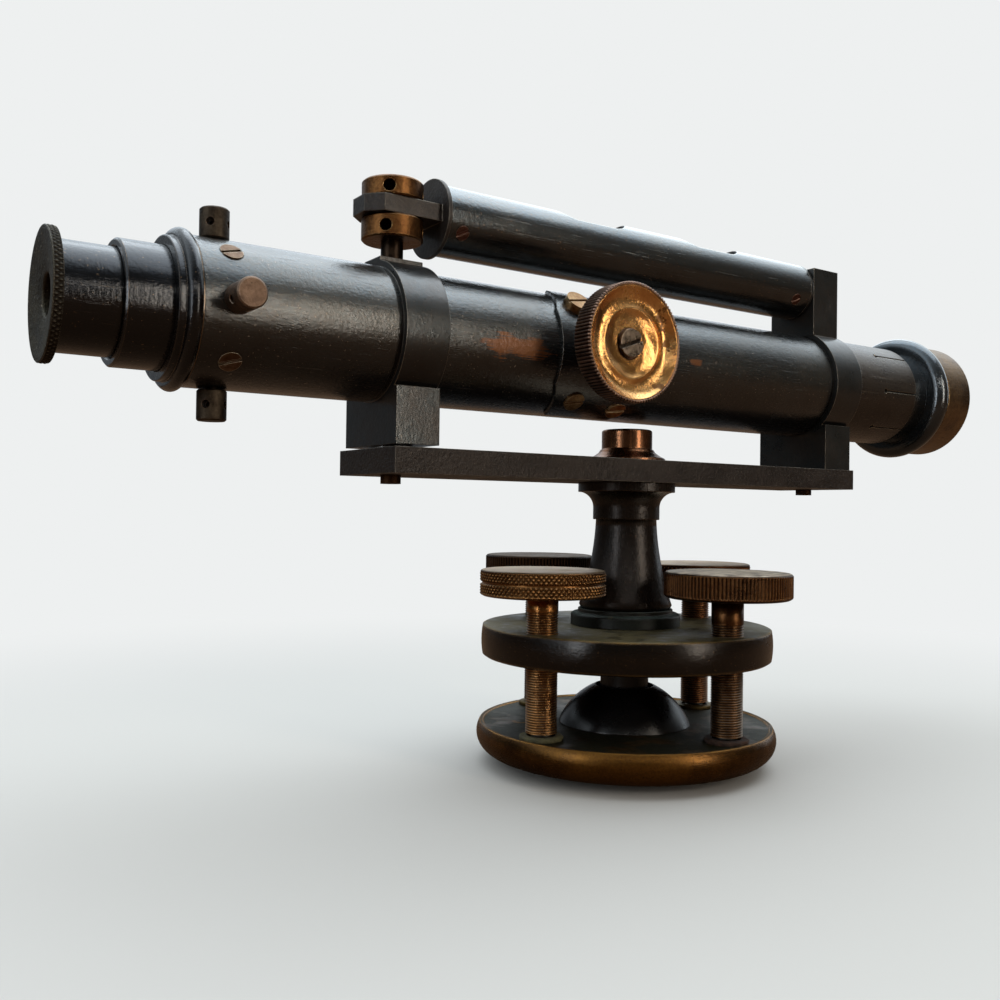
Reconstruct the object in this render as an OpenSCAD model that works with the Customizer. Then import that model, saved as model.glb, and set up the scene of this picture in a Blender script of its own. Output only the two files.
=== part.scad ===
// Four-screw surveying level with a focusing telescope, a spirit level on top
// and a ball-jointed levelling head.
// +X runs along the telescope towards the objective, +Z is up.
// The origin is on the upright axis, in the plane of the foot's lowest face.

/* [Foot plate] */
// Radius of the foot plate at its widest
foot_r = 50.8; // [48:0.2:62]
// Thickness of the foot plate at its rim
foot_t = 10.7; // [9.8:0.1:14]
// Radius of the round on the foot plate's side
foot_round = 7; // [6:0.1:8]
// Height of the rim above the dished floor
lip_h = 0.5; // [0.2:0.1:1]
// Width of the rim
lip_w = 1; // [0.8:0.1:1.1]
// Radius of the threaded boss under the foot plate
boss_r = 29; // [28:0.1:34]
// Height of the threaded boss
boss_h = 3; // [2:0.1:5]
// Radius of the tripod thread
tripod_r = 25; // [22:0.1:25.4]
// Depth of the tripod thread
tripod_depth = 8; // [6:0.1:9]

/* [Ball joint] */
// How far the dome's foot stands out over its spigot in the foot plate
dome_step = 3.5; // [3:0.1:5]
// Wall of the dome above the ball, if its top were closed
dome_wall = 1.7; // [1.2:0.1:3.7]
// Wall of the dome's spigot round the keeper
spigot_wall = 2; // [1.5:0.1:3]
// Radius of the half ball
ball_r = 13.2; // [12.6:0.1:16]
// Wall of the bearing cup between ball and dome
cup_wall = 1.1; // [0.9:0.1:1.3]
// Depth of the ball's centre below the dished floor
pivot_drop = 1.2; // [1:0.1:1.6]
// Radius of the stem above the ball
stem_r = 8.2; // [7:0.1:8.4]
// Radius of the opening in the dome's top
dome_hole_r = 10; // [9.8:0.1:10.4]
// Thickness of the keeper under the ball
keeper_t = 1.5; // [1.2:0.1:1.7]

/* [Upper plate] */
// How much smaller the upper plate's radius is than the foot plate's
upper_step = 1.3; // [0:0.1:2]
// Thickness of the upper plate
upper_t = 10.5; // [8:0.1:14]
// Gap between the foot plate's floor and the upper plate
plate_gap = 22.9; // [20:0.1:32]
// Radius of the threaded spigots in the upper plate's centre
core_r = 7; // [6:0.1:8]

/* [Levelling screws] */
// Distance of the screws' axes from the foot plate's widest edge
screw_inset = 9.5; // [9.5:0.1:11]
// Angle from the telescope to the first screw
screw_phase = 9.6; // [0:0.1:90]
// Radius of the screws
screw_r = 5.04; // [4:0.01:6]
// Radius of the knurled heads
head_r = 20; // [16:0.1:21]
// Thickness of the knurled heads
head_t = 8.4; // [6:0.1:12]
// Extra height of the second screw's head, which is turned further out
second_raise = 2.4; // [0:0.1:5]
// Clear height between the upper plate and the heads
head_gap = 11.8; // [10:0.1:18]
// Radius of the loose shoes under the screws
shoe_r = 7.2; // [6.2:0.1:7.3]
// Height of the shoes
shoe_h = 1.4; // [1.2:0.1:2]
// Radius of the steel points in the screws' ends
point_r = 3.4; // [2.8:0.1:3.6]

/* [Upright axis] */
// Radius of the fixed collar round the spindle's foot
collar_r = 18.7; // [17:0.1:20]
// Height of the fixed collar's flange
collar_h = 4.3; // [3:0.1:6]
// Radius of the step on the fixed collar
collar_step_r = 16.2; // [15:0.1:16.8]
// Height of the step on the fixed collar
collar_step_h = 1.4; // [1:0.1:3]
// Radius of the turning column's foot
column_foot_r = 15.9; // [14:0.1:16.2]
// Radius of the column's neck
column_neck_r = 10.4; // [10:0.1:12]
// Radius of the band above the neck
column_band_r = 11.4; // [11:0.1:13]
// Radius of the column's head under the bar
column_head_r = 16.6; // [15:0.1:17.4]
// Height of the column from its foot to the bar
column_h = 42.8; // [40:0.1:60]
// Height of the column's head and its flare
flare_h = 8.3; // [8:0.1:10]
// Height of the band below the flare
band_h = 4.2; // [3:0.1:6]
// Radius of the spindle at its foot
spindle_foot_r = 9.2; // [8.6:0.1:9.6]
// Radius of the spindle at its top
spindle_top_r = 4.9; // [4.6:0.1:5.2]

/* [Bar] */
// Length of the bar on the eyepiece side
bar_left = 100; // [99.5:0.1:120]
// Length of the bar on the objective side
bar_right = 101; // [101:0.1:120]
// Width of the bar
bar_w = 35.2; // [32:0.1:44]
// Thickness of the bar
bar_t = 7.45; // [6:0.05:10]
// Radius of the cap nut on the bar
cap_r = 8.67; // [8:0.01:10]
// Height of the cap nut
cap_h = 10.9; // [10.8:0.1:12.4]
// Radius of the cap nut's foot
cap_foot_r = 13.3; // [11:0.1:16]
// Height of the cap nut's flared foot
cap_flare_h = 4.1; // [3:0.1:6]

/* [Telescope tubes] */
// Gap between the bar and the barrel
tube_gap = 13.5; // [12.9:0.1:20]
// Outer radius of the barrel
barrel_r = 19.7; // [19:0.1:24]
// Wall of the barrel
barrel_wall = 0.8; // [0.7:0.05:0.9]
// How far the slit sleeve at the objective stands out over the barrel
sleeve_step = 0.3; // [0.25:0.01:0.6]
// Length of the slit sleeve outside its collar
sleeve_len = 37.2; // [30:0.1:38]
// Number of slits in the sleeve
slit_count = 8; // [4:1:12]
// Length of the slits
slit_len = 20; // [10:0.1:24]
// Width of the slits
slit_w = 0.7; // [0.5:0.05:1]
// Place of the eyepiece end of the tubes
tube_left = -154; // [-158:0.1:-153.6]
// Wall of the eyepiece body
body_wall = 2.2; // [2:0.1:2.6]
// How far the end ring's bead stands out over the barrel
end_ring_step = 1.4; // [0.8:0.1:2.3]
// Wall of the end ring between the eyepiece body and the eyepiece sleeve
end_ring_wall = 1.4; // [1.1:0.1:1.9]
// Wall of the eyepiece sleeve
eye_sleeve_wall = 2.29; // [1.9:0.01:2.6]
// Length of the eyepiece sleeve in front of the end ring
eye_sleeve_len = 12; // [10:0.1:12.4]
// How far the eyepiece disc stands out over its tube
eye_disc_step = 2.94; // [1.4:0.02:4]
// Thickness of the eyepiece disc
eye_disc_t = 2.5; // [2:0.1:4]
// Gap between the eyepiece disc and the sleeve
eye_pull = 13.8; // [12:0.1:16]
// Radius of the eye hole
eye_hole_r = 5.3; // [4:0.1:6]

/* [Collars] */
// Wall of the two collars
ring_wall = 1.8; // [1.3:0.1:2.3]
// Half the width of the blocks under the collars
block_y = 16; // [14:0.1:16.4]
// Height of the blocks above the bar
block_h = 17.1; // [15:0.1:18]
// Place of the left collar's outer face
left_x0 = -98.9; // [-99.4:0.1:-98]
// Width of the left collar
left_w = 13.9; // [13:0.1:15]
// Gap between the left block and the bar
left_gap = 0.8; // [0.5:0.1:1.2]
// Place of the right collar's inner face
right_x0 = 86.1; // [86:0.1:87]
// Width of the right collar
right_w = 14.7; // [14:0.1:14.9]
// Half the width of the upright block over the right collar
post_y = 10.35; // [9:0.05:12]
// Height of the upright block's top above the level tube's axis
post_over = 7.9; // [7:0.1:11]

/* [Objective] */
// Radial clearance of the draw tube's guide in the barrel
draw_fit = 0.1; // [0.06:0.01:0.3]
// Wall of the draw tube
draw_wall = 1.2; // [1:0.1:1.3]
// How much the draw tube's inner length is smaller in radius than its guide
draw_step = 2.8; // [2.6:0.05:3]
// Gap between the sleeve and the bead ring
draw_gap = 9.4; // [9:0.1:12]
// How far the bead ring stands out over the draw tube
bead_step = 6.6; // [5.8:0.1:7.2]
// Width of the bead ring
bead_w = 9.1; // [8.8:0.1:10]
// Wall of the objective mount round the lens
mount_wall = 2.4; // [1.8:0.1:2.8]
// Length of the objective mount
mount_len = 15.5; // [15:0.1:17]
// How much the objective lens is larger in radius than the draw tube
lens_step = 2; // [1.4:0.1:2.2]

/* [Focusing] */
// Place of the pinion along the telescope
knob_x = -30.5; // [-32:0.1:-30]
// Radius of the focusing knob
knob_r = 18.2; // [16:0.1:18.6]
// Thickness of the focusing knob
knob_t = 7.4; // [6.8:0.1:8]
// Gap between the barrel and the knob's back
knob_gap = 11.1; // [10.9:0.1:15]
// Module of the rack and pinion
gear_m = 0.6; // [0.6:0.01:0.61]
// Number of teeth on the pinion
pinion_teeth = 14; // [13:1:14]
// Thickness of the saddle plate
saddle_wall = 1; // [0.9:0.05:1.3]
// Place of the saddle plate's outer edge
saddle_x0 = -44.3; // [-46:0.1:-43]
// Length of the saddle plate
saddle_len = 35.3; // [34:0.1:38]

/* [Level tube] */
// Gap between the barrel and the level tube
vial_gap = 6.7; // [6.1:0.1:7.7]
// Outer radius of the level tube
vial_r = 10.6; // [10.4:0.05:11]
// Wall of the level tube
vial_wall = 1.2; // [1:0.05:1.3]
// Outer radius of the glass vial
glass_r = 8; // [7.6:0.05:8.1]
// Width of the two windows
window_w = 16.2; // [12:0.1:17]
// Length of each window
window_len = 31.8; // [20:0.1:34]
// Width of the bridge between the windows
bridge_w = 23; // [18:0.1:26]
// Place of the bridge's middle
bridge_x = 6.6; // [4:0.1:9]
// Radius of the left end cap
tail_r = 11.9; // [11.2:0.1:12.4]
// Place of the adjusting stud
stud_x = -92.6; // [-93:0.1:-92]
// Radius of the adjusting stud
stud_r = 3.3; // [2.8:0.1:3.5]
// Radius of the capstan nuts
nut_r = 9.08; // [8:0.02:9.6]
// Half the width of the lug between the nuts
lug_y = 8; // [7:0.1:9]
// Thickness of the lug
lug_t = 5; // [4.6:0.1:5.6]
// Height of the lower capstan nut
nut_low_t = 6.6; // [5:0.1:8]
// Height of the upper capstan nut
nut_high_t = 5.7; // [5:0.1:8]

/* [Reticle] */
// Place of the reticle and its screws
reticle_x = -145.6; // [-145.8:0.1:-145]
// Radius of the capstan heads on the reticle screws
capstan_r = 3.9; // [3.4:0.1:4.2]
// Height of the upper and lower capstan heads' ends over the eyepiece body
capstan_len = 8.4; // [7.3:0.1:10.3]
// Height of the side capstan heads' ends over the eyepiece body
side_len = 9.9; // [7.3:0.1:11.3]
// How far the reticle is set above the telescope's axis
reticle_rise = 1; // [0:0.1:1.1]
// Room between the reticle ring and the eyepiece body
reticle_gap = 1.8; // [1.7:0.1:2.5]

/* [Fits] */
// Radial clearance of turning and sliding fits
fit = 0.05; // [0.03:0.01:0.06]
// Axial clearance at running faces
face_gap = 0.15; // [0.12:0.01:0.2]

/* [Hidden] */
$fn = 96;

// Share of the cap nut's flare that lies below its hollow
cap_mid = 0.55;

// Overlap that makes cuts run clear of the faces they open
cut = 1;

// Heights on the upright axis
foot_z = boss_h;
rim_z = foot_z + foot_t;
floor_z = rim_z - lip_h;
pivot_z = floor_z - pivot_drop;
upper_z = floor_z + plate_gap;
upper_top = upper_z + upper_t;
collar_z = upper_top + collar_h;
collar_top = collar_z + collar_step_h;
column_z = collar_top + face_gap;
bar_z = column_z + column_h;
bar_top = bar_z + bar_t;
axis_h = barrel_r + tube_gap;
axis_z = bar_top + axis_h;
head_z = upper_top + head_gap;

// Radii that follow the foot plate
upper_r = foot_r - upper_step;
screw_circle_r = foot_r - screw_inset;
upper_round = 28;
rim_r = foot_r - foot_round + sqrt(foot_round * foot_round - pow(foot_t - foot_round, 2));

// Ball joint
ball_fit = 0.1;
cup_in_r = ball_r + ball_fit;
cup_out_r = cup_in_r + cup_wall;
cup_hole_r = stem_r + 1.2;
socket_r = cup_out_r + ball_fit;
socket_skirt_r = socket_r + 0.3;
ball_flat = 0.5;
dome_foot_z = tripod_depth + 0.3;
keeper_r = socket_skirt_r + 2.2;
keeper_hole_r = 5;
spigot_r = keeper_r + spigot_wall;
dome_r = spigot_r + dome_step;
dome_h = socket_r + dome_wall - pivot_drop;
dome_ball_r = (dome_r * dome_r + dome_h * dome_h) / (2 * dome_h);
dome_ball_z = floor_z + dome_h - dome_ball_r;

// Levelling screws
shoe_top = floor_z + shoe_h;
recess_depth = 0.8;
recess_r = point_r + 1;
point_z = shoe_top - recess_depth + fit;
screw_z = shoe_top + 0.8;
point_len = 8;
knurl_count = 60;
head_groove = 0.4;

// Spindle and its screw
spindle_top = bar_top + 3.3;
column_top = spindle_top - face_gap;
through_r = 9;
nose_r = 6.9;
core_join_z = upper_z + upper_t / 2;
spindle_tap_r = 2.5;
spindle_tap_len = 12;
spindle_flange_r = 5.8;
spindle_flange_t = 1.6;
spindle_head_r = 4.2;
spindle_head_t = 2.8;

// Telescope
left_x1 = left_x0 + left_w;
right_x1 = right_x0 + right_w;
bore_r = barrel_r - barrel_wall;
ring_r = barrel_r + ring_wall;
sleeve_r = barrel_r + sleeve_step;
groove_w = 1.5;
neck_r = barrel_r - 0.4;
barrel_right = right_x0 - groove_w;
seat_x = right_x0 + right_w / 2;
body_right = left_x0 - groove_w;
body_spigot_r = bore_r - fit;
body_spigot_len = 11;
body_bore_r = barrel_r - body_wall;
sleeve_end = right_x1 + sleeve_len;
slit_drill_r = 0.9;
boss_top_h = barrel_r + 2.4;
boss_y = 5;
pad_r = 6.5;
block_tap_h = 9;

// Eyepiece
end_ring_w = 4;
end_ring_r = barrel_r + end_ring_step;
end_bead_r = 1.9;
end_bead_x = 2.1;
end_step_r = barrel_r - 1;
end_step_w = 1.9;
eye_sleeve_r = body_bore_r - end_ring_wall;
eye_bore_r = eye_sleeve_r - eye_sleeve_wall;
eye_tube_r = eye_bore_r - fit;
eye_disc_r = eye_tube_r + eye_disc_step;
eye_tube_len = 25.4;
sleeve_inner_x = reticle_x - 4.9;
eye_sleeve_x = tube_left - end_ring_w - end_step_w + 0.3 - eye_sleeve_len;
eye_disc_x = eye_sleeve_x - eye_pull - eye_disc_t;
eye_tube_x = eye_disc_x + eye_disc_t;
eye_tube_end = eye_tube_x + eye_tube_len;
eye_tube_in_r = eye_tube_r - 1.2;
eye_lens_t = 3;
eye_lens_bulge = 2.73;
eye_lens_r = eye_tube_in_r - fit;
eye_lens_round = (eye_lens_r * eye_lens_r + eye_lens_bulge * eye_lens_bulge) / (2 * eye_lens_bulge);

// Objective
bead_x = sleeve_end + draw_gap;
mount_x = bead_x + bead_w;
mount_end = mount_x + mount_len;
draw_r = bore_r - draw_fit;
draw_in_r = draw_r - draw_wall;
draw_inner_r = draw_r - draw_step;
draw_step_x = 60;
draw_back_x = -62;
draw_ring_w = 8;
draw_inner_in_r = draw_inner_r - draw_wall;
bead_r = draw_r + bead_step;
bead_round = 3.9;
groove_r = draw_r + 3.4;
lens_r = draw_r + lens_step;
mount_r = lens_r + mount_wall;
lens_seat_x = mount_x + 1.6;
lens_ring_t = 1.6;
lens_ring_gap = 0.75;

// Rack and pinion
pitch_r = gear_m * pinion_teeth / 2;
tip_r = pitch_r + gear_m;
root_r = pitch_r - 1.25 * gear_m;
base_r = pitch_r * cos(20);
pinion_backlash = 0.1;
rack_backlash = 0.06;
rack_addendum = 0.8 * gear_m;
rack_dedendum = 1.25 * gear_m;
rack_y1 = draw_inner_r + 0.2;
rack_y0 = rack_y1 - 3;
pinion_y = rack_y0 + 0.1;
pinion_face = 3.6;
pinion_hole_r = 5.45;
shaft_r = 2;
bush_r = pinion_hole_r - fit;
knob_back = barrel_r + knob_gap;
knob_front = knob_back + knob_t;
knob_hub_gap = 0.6;
saddle_r = barrel_r + saddle_wall;
saddle_boss_r = 7.5;
saddle_y = 5.3;
slot_top = 7;
slot_bottom = tip_r + 0.6;
slot_x1 = -16;
rack_h = 9;

// Level tube
vial_h = barrel_r + vial_gap + vial_r;
post_h = vial_h + post_over;
vial_z = axis_z + vial_h;
vial_in_r = vial_r - vial_wall;
vial_x0 = -79;
vial_x1 = 84;
tail_t = 1.2;
lug_z = vial_z - lug_t / 2;
lug_x = stud_x - 11;
lug_cut = 4.4;
nut_gap = 0.1;
nut_hole_r = 1.8;
stud_top = lug_z + lug_t + nut_high_t;
glass_x0 = -56;
glass_x1 = 68;
glass_wall = 1.1;
packing_t = 6;
pivot_x = right_x0 + 5.5;
pin_r = 1.5;
tongue_y = 3;
tongue_h = 4.2;
bubble_len = 45;
bubble_depth = 2.2;

// Small screws
slot_w = 0.9;
cross_hole_r = 1.1;
shank_r = 1.6;
reticle_travel = 0.4;
reticle_z = axis_z + reticle_rise;
reticle_r = body_bore_r - reticle_gap;
reticle_bore_r = reticle_r - 6.7;
reticle_half_w = 2.6;
screw_nose_r = reticle_r - 3.4;
capstan_end = barrel_r + capstan_len;
side_end = barrel_r + side_len;
hair_r = 0.1;
hair_len = 2 * reticle_bore_r + 2;
body_screw_r = 3;
body_screw_depth = 1.4;
body_screw_proud = 0.2;
collar_screw_r = 3;
casing_screw_r = 2.2;
casing_screw_angles = [-30, 210];

// Turns a part whose own axis is Z to lie along the telescope
module along_x(x = 0) translate([x, 0, axis_z]) rotate([0, 90, 0]) children();

// Turns a part whose own axis is Z to point at the near side through the pinion
module along_near(y = 0) translate([knob_x, -y, axis_z]) rotate([90, 0, 0]) children();

// Turns a part whose own axis is Z to point outwards from the telescope's axis
module outward(x, angle, z = axis_z) translate([x, 0, z]) rotate([angle - 90, 0, 0]) children();

// A tube between two places on its axis
module tube(r, inner, z0, z1) translate([0, 0, z0]) difference() {
    cylinder(r = r, h = z1 - z0);
    translate([0, 0, -cut]) cylinder(r = inner, h = z1 - z0 + 2 * cut);
}

// A plain round bar between two places on its axis
module rod(r, z0, z1) translate([0, 0, z0]) cylinder(r = r, h = z1 - z0);

// A round bar with small bevels on both ends
module bevelled(r, z0, z1, bevel) rotate_extrude()
    polygon([[0, z0], [r - bevel, z0], [r, z0 + bevel], [r, z1 - bevel], [r - bevel, z1], [0, z1]]);

// Puts one child on each of the four levelling screws' axes
function screw_angle(i) = screw_phase + 90 * i;
module at_screw(i) rotate([0, 0, screw_angle(i)]) translate([screw_circle_r, 0, 0]) children();

// A slotted head whose top is at z1
module slotted(r, z0, z1, depth = 0.7, turn = 0) difference() {
    rod(r, z0, z1);
    rotate([0, 0, turn]) translate([-r - cut, -slot_w / 2, z1 - depth])
        cube([2 * (r + cut), slot_w, depth + cut]);
}

module foot_plate() color("darkolivegreen") difference() {
    rotate_extrude() difference() {
        union() {
            square([boss_r, boss_h + cut]);
            translate([0, foot_z]) square([foot_r - foot_round, foot_t]);
            intersection() {
                translate([foot_r - foot_round, foot_z + foot_round]) circle(foot_round);
                translate([0, foot_z]) square([foot_r + cut, foot_t]);
            }
        }
        translate([0, floor_z]) square([rim_r - lip_w, foot_t]);
    }
    rod(tripod_r, -cut, tripod_depth);
    rod(spigot_r + fit, tripod_depth - cut, floor_z + cut);
}

module ball_dome() color("black") rotate_extrude() difference() {
    union() {
        intersection() {
            translate([0, dome_ball_z]) circle(dome_ball_r);
            translate([0, floor_z]) square([dome_r + cut, dome_h + cut]);
        }
        translate([0, dome_foot_z]) square([spigot_r, floor_z - dome_foot_z + cut]);
    }
    translate([0, pivot_z]) circle(socket_r);
    translate([-cut, dome_foot_z - cut]) square([socket_skirt_r + cut, pivot_z - dome_foot_z + cut]);
    translate([-cut, dome_foot_z - cut]) square([keeper_r + fit + cut, keeper_t + cut]);
    translate([-cut, floor_z]) square([dome_hole_r + cut, dome_h + cut]);
    translate([-2 * dome_r, 0]) square([2 * dome_r, 3 * dome_r]);
}

module ball_keeper() color("goldenrod")
    tube(keeper_r, keeper_hole_r, dome_foot_z, dome_foot_z + keeper_t - fit);

module screw_shoes() color("olive") for (i = [0:3]) at_screw(i) difference() {
    rod(shoe_r, floor_z, shoe_top);
    rod(recess_r, shoe_top - recess_depth, shoe_top + cut);
}

module ball_cup() color("goldenrod") rotate_extrude() difference() {
    translate([0, pivot_z]) circle(cup_out_r);
    translate([0, pivot_z]) circle(cup_in_r);
    translate([-2 * ball_r, pivot_z - 2 * ball_r]) square([4 * ball_r, 2 * ball_r]);
    translate([-2 * ball_r, 0]) square([2 * ball_r + cup_hole_r, 4 * ball_r]);
}

module ball_stem() color("black") rotate_extrude() union() {
    difference() {
        translate([0, pivot_z]) circle(ball_r);
        translate([-2 * ball_r, -ball_r]) square([4 * ball_r, pivot_z - ball_flat + ball_r]);
        translate([-2 * ball_r, -ball_r]) square([2 * ball_r, 4 * ball_r]);
    }
    translate([0, pivot_z]) square([stem_r, upper_z - pivot_z]);
    translate([0, pivot_z]) square([core_r - fit, core_join_z - pivot_z]);
}

// The upper plate's side bulges slightly
module upper_plate() color("darkolivegreen") difference() {
    rotate_extrude() intersection() {
        translate([0, upper_z]) square([upper_r, upper_t]);
        translate([upper_r - upper_round, upper_z + upper_t / 2]) circle(upper_round, $fn = 240);
        polygon([[0, upper_z], [upper_r - 1.2, upper_z], [upper_r, upper_z + 0.8], [upper_r, upper_top - 0.5],
            [upper_r - 1, upper_top], [0, upper_top]]);
    }
    rod(core_r, upper_z - cut, upper_top + cut);
    for (i = [0:3]) at_screw(i) rod(screw_r + fit, upper_z - cut, upper_top + cut);
}

module base_collar() color("darkslategray") difference() {
    rotate_extrude() polygon([[0, upper_top], [collar_r, upper_top], [collar_r, collar_z - 0.6],
        [collar_r - 0.8, collar_z], [collar_step_r, collar_z], [collar_step_r, collar_top], [0, collar_top]]);
    rod(spindle_foot_r + fit, upper_top - cut, collar_top + cut);
}

module spindle() color("silver") difference() {
    rotate_extrude() polygon([[0, core_join_z + 0.2], [core_r - fit, core_join_z + 0.2],
        [core_r - fit, upper_top], [spindle_foot_r, upper_top], [spindle_foot_r, collar_top],
        [spindle_top_r, spindle_top], [0, spindle_top]]);
    rod(spindle_tap_r + fit, spindle_top - spindle_tap_len, spindle_top + cut);
}

module spindle_screw() color("silver") union() {
    rod(spindle_tap_r, spindle_top - spindle_tap_len + 1, spindle_top + cut);
    rod(spindle_flange_r, spindle_top, spindle_top + spindle_flange_t);
    slotted(spindle_head_r, spindle_top + spindle_flange_t - 0.5,
        spindle_top + spindle_flange_t + spindle_head_t, 1.2);
}

module level_point(i) color("dimgray") at_screw(i) intersection() {
    translate([0, 0, point_z]) cylinder(r = point_r, h = point_len);
    translate([0, 0, point_z + point_len]) sphere(r = point_len);
}

// One levelling screw: shank, bored end for the point, and knurled head
module level_screw(i, grooved, tone, raise = 0) color(tone) at_screw(i) difference() {
    union() {
        bevelled(screw_r, screw_z, head_z + raise + cut, 0.4);
        translate([0, 0, head_z + raise]) rotate_extrude() difference() {
            polygon([[0, 0], [head_r - 1.2, 0], [head_r, 1], [head_r, head_t - 0.8],
                [head_r - 0.8, head_t], [0, head_t]]);
            if (grooved) translate([head_r, head_t / 2]) circle(2 * head_groove);
        }
    }
    rod(point_r + fit, screw_z - cut, point_z + point_len + face_gap);
    if (!grooved) for (k = [0:knurl_count - 1]) rotate([0, 0, k * 360 / knurl_count])
        translate([head_r + head_groove, 0, head_z + raise - cut])
            cylinder(r = 2 * head_groove, h = head_t + 2 * cut, $fn = 4);
}

// The long hollow curve of the column's side
taper_z = bar_z - flare_h - band_h;
taper_h = taper_z - column_z;
taper_w = column_foot_r - column_neck_r;
taper_bow = 1.1;
function taper_point(t) =
    [column_foot_r - taper_w * t - 4 * taper_bow * t * (1 - t), column_z + taper_h * t];
flare_r = column_head_r - column_band_r + 0.1;

module column() color("black") rotate_extrude() difference() {
    union() {
        polygon([[0, column_z], for (k = [0:6]) taper_point(k / 6), [column_band_r, taper_z],
            [column_band_r, bar_z - flare_h], [column_head_r, bar_z - flare_h],
            [column_head_r, bar_z], [0, bar_z]]);
        translate([0, bar_z - cut]) square([through_r, bar_t + cut - 0.05]);
        translate([0, bar_z]) square([nose_r, column_top - bar_z]);
    }
    translate([column_head_r + 0.1, bar_z - flare_h]) circle(flare_r);
    polygon([[-cut, column_z - cut], [bore_at(column_z - cut), column_z - cut],
        [bore_at(column_top + cut), column_top + cut], [-cut, column_top + cut]]);
}
// Radius of the column's tapered bore at a height
spindle_slope = (spindle_top_r - spindle_foot_r) / (spindle_top - collar_top);
function bore_at(z) = spindle_foot_r + fit + spindle_slope * (z - collar_top);

module bar() color("dimgray") difference() {
    translate([-bar_left, -bar_w / 2, bar_z]) cube([bar_left + bar_right, bar_w, bar_t]);
    rod(through_r + fit, bar_z - cut, bar_top + cut);
    for (x = [left_x0 + left_w / 2, seat_x])
        translate([x, 0, 0]) rod(shank_r + 1, bar_z - cut, bar_top + cut);
}

module cap_nut() color("peru") rotate_extrude() difference() {
    polygon([[0, bar_top], [cap_foot_r, bar_top], [cap_foot_r - 0.2, bar_top + 1],
        [cap_r + cap_mid * (cap_foot_r - cap_r), bar_top + cap_mid * cap_flare_h],
        [cap_r + 0.5, bar_top + cap_flare_h - 0.2], [cap_r, bar_top + cap_flare_h],
        [cap_r, bar_top + cap_h - 0.5], [cap_r - 0.5, bar_top + cap_h], [0, bar_top + cap_h]]);
    translate([-cut, bar_top - cut]) square([nose_r + fit + cut, cap_h - 1.9 + cut]);
}

// The collars' lower half: a ring on a square block
module collar_block(x0, width, gap) {
    along_x() rod(ring_r, x0, x0 + width);
    translate([x0, -block_y, bar_top + gap]) cube([width, 2 * block_y, block_h - gap]);
}

module left_collar() color("dimgray") difference() {
    union() {
        collar_block(left_x0, left_w, left_gap);
        translate([left_x0, -boss_y, axis_z + bore_r])
            cube([left_w, 2 * boss_y, boss_top_h - bore_r]);
        translate([left_x0 + left_w / 2, 0, bar_top]) cylinder(r = pad_r, h = left_gap + cut);
    }
    along_x() rod(barrel_r + fit, left_x0 - cut, left_x1 + cut);
    translate([stud_x, 0, 0]) rod(stud_r + fit, axis_z, axis_z + boss_top_h + cut);
    translate([left_x0 + left_w / 2, 0, 0]) rod(shank_r + fit, bar_top - cut, bar_top + block_tap_h);
}

module right_collar() color("dimgray") difference() {
    union() {
        collar_block(right_x0, right_w, 0);
        translate([right_x0 - 0.4, -post_y, axis_z + bore_r])
            cube([right_w - 0.5, 2 * post_y, post_h - bore_r]);
    }
    along_x() rod(neck_r + fit, right_x0 - cut, seat_x);
    along_x() rod(barrel_r + fit, seat_x - 0.1, right_x1 + cut);
    translate([seat_x, 0, 0]) rod(shank_r + fit, bar_top - cut, bar_top + block_tap_h);
    translate([right_x0 - cut, -tongue_y - 0.3, vial_z - tongue_h - 1.2])
        cube([pivot_x + 5.2 - right_x0 + cut, 2 * tongue_y + 0.6, 2 * tongue_h + 2.4]);
    translate([pivot_x, post_y + cut, vial_z]) rotate([90, 0, 0])
        cylinder(r = pin_r + fit, h = 2 * post_y - 2.5 + cut);
}

module collar_screws() color("saddlebrown") {
    translate([left_x0 + left_w / 2, 0, 0]) mirror([0, 0, 1]) union() {
        rod(shank_r, 1 - block_tap_h - bar_top, cut - bar_z);
        slotted(collar_screw_r, -bar_z, 2.6 - bar_z);
    }
    translate([seat_x, 0, 0]) mirror([0, 0, 1]) union() {
        rod(shank_r, 1 - block_tap_h - bar_top, cut - bar_z);
        slotted(collar_screw_r, -bar_z, 2.2 - bar_z);
    }
}

// The four saddle screws, counted from the pinion: place, angle round the tube,
// height of the head above the saddle and radius of the head.
// The first is a later replacement with a larger head.
saddle_sites = [[-5, 138, 2.3, 4.2], [14.2, 128, 0.6, 3.5],
    [-3.8, 230, 0.6, 3.5], [14.9, 236, 0.6, 3.5]];
saddle_seat = saddle_r - 0.55;
module at_saddle_screw(s) outward(knob_x + s[0], s[1]) children();

module barrel() color("black") difference() {
    along_x() union() {
        tube(barrel_r, bore_r, left_x0, barrel_right);
        tube(neck_r, bore_r, barrel_right - cut, seat_x - 0.2);
    }
    along_near() rod(pinion_hole_r, 0, barrel_r + cut);
    for (s = saddle_sites) at_saddle_screw(s) rod(shank_r, bore_r - cut, barrel_r + cut);
}

module eyepiece_body() color("black") difference() {
    along_x() union() {
        tube(barrel_r, body_bore_r, tube_left, body_right);
        tube(body_spigot_r, body_bore_r, body_right - cut, left_x0 + body_spigot_len);
    }
    for (a = [90, 270]) outward(reticle_x, a) rod(shank_r + fit, 0, barrel_r + cut);
    for (a = [0, 180])
        outward(reticle_x, a, reticle_z) rod(shank_r + reticle_travel + 0.1, 0, barrel_r + cut);
    for (a = [45:90:315])
        outward(reticle_x, a) rod(body_screw_r + fit, barrel_r - body_screw_depth, barrel_r + cut);
}

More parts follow.
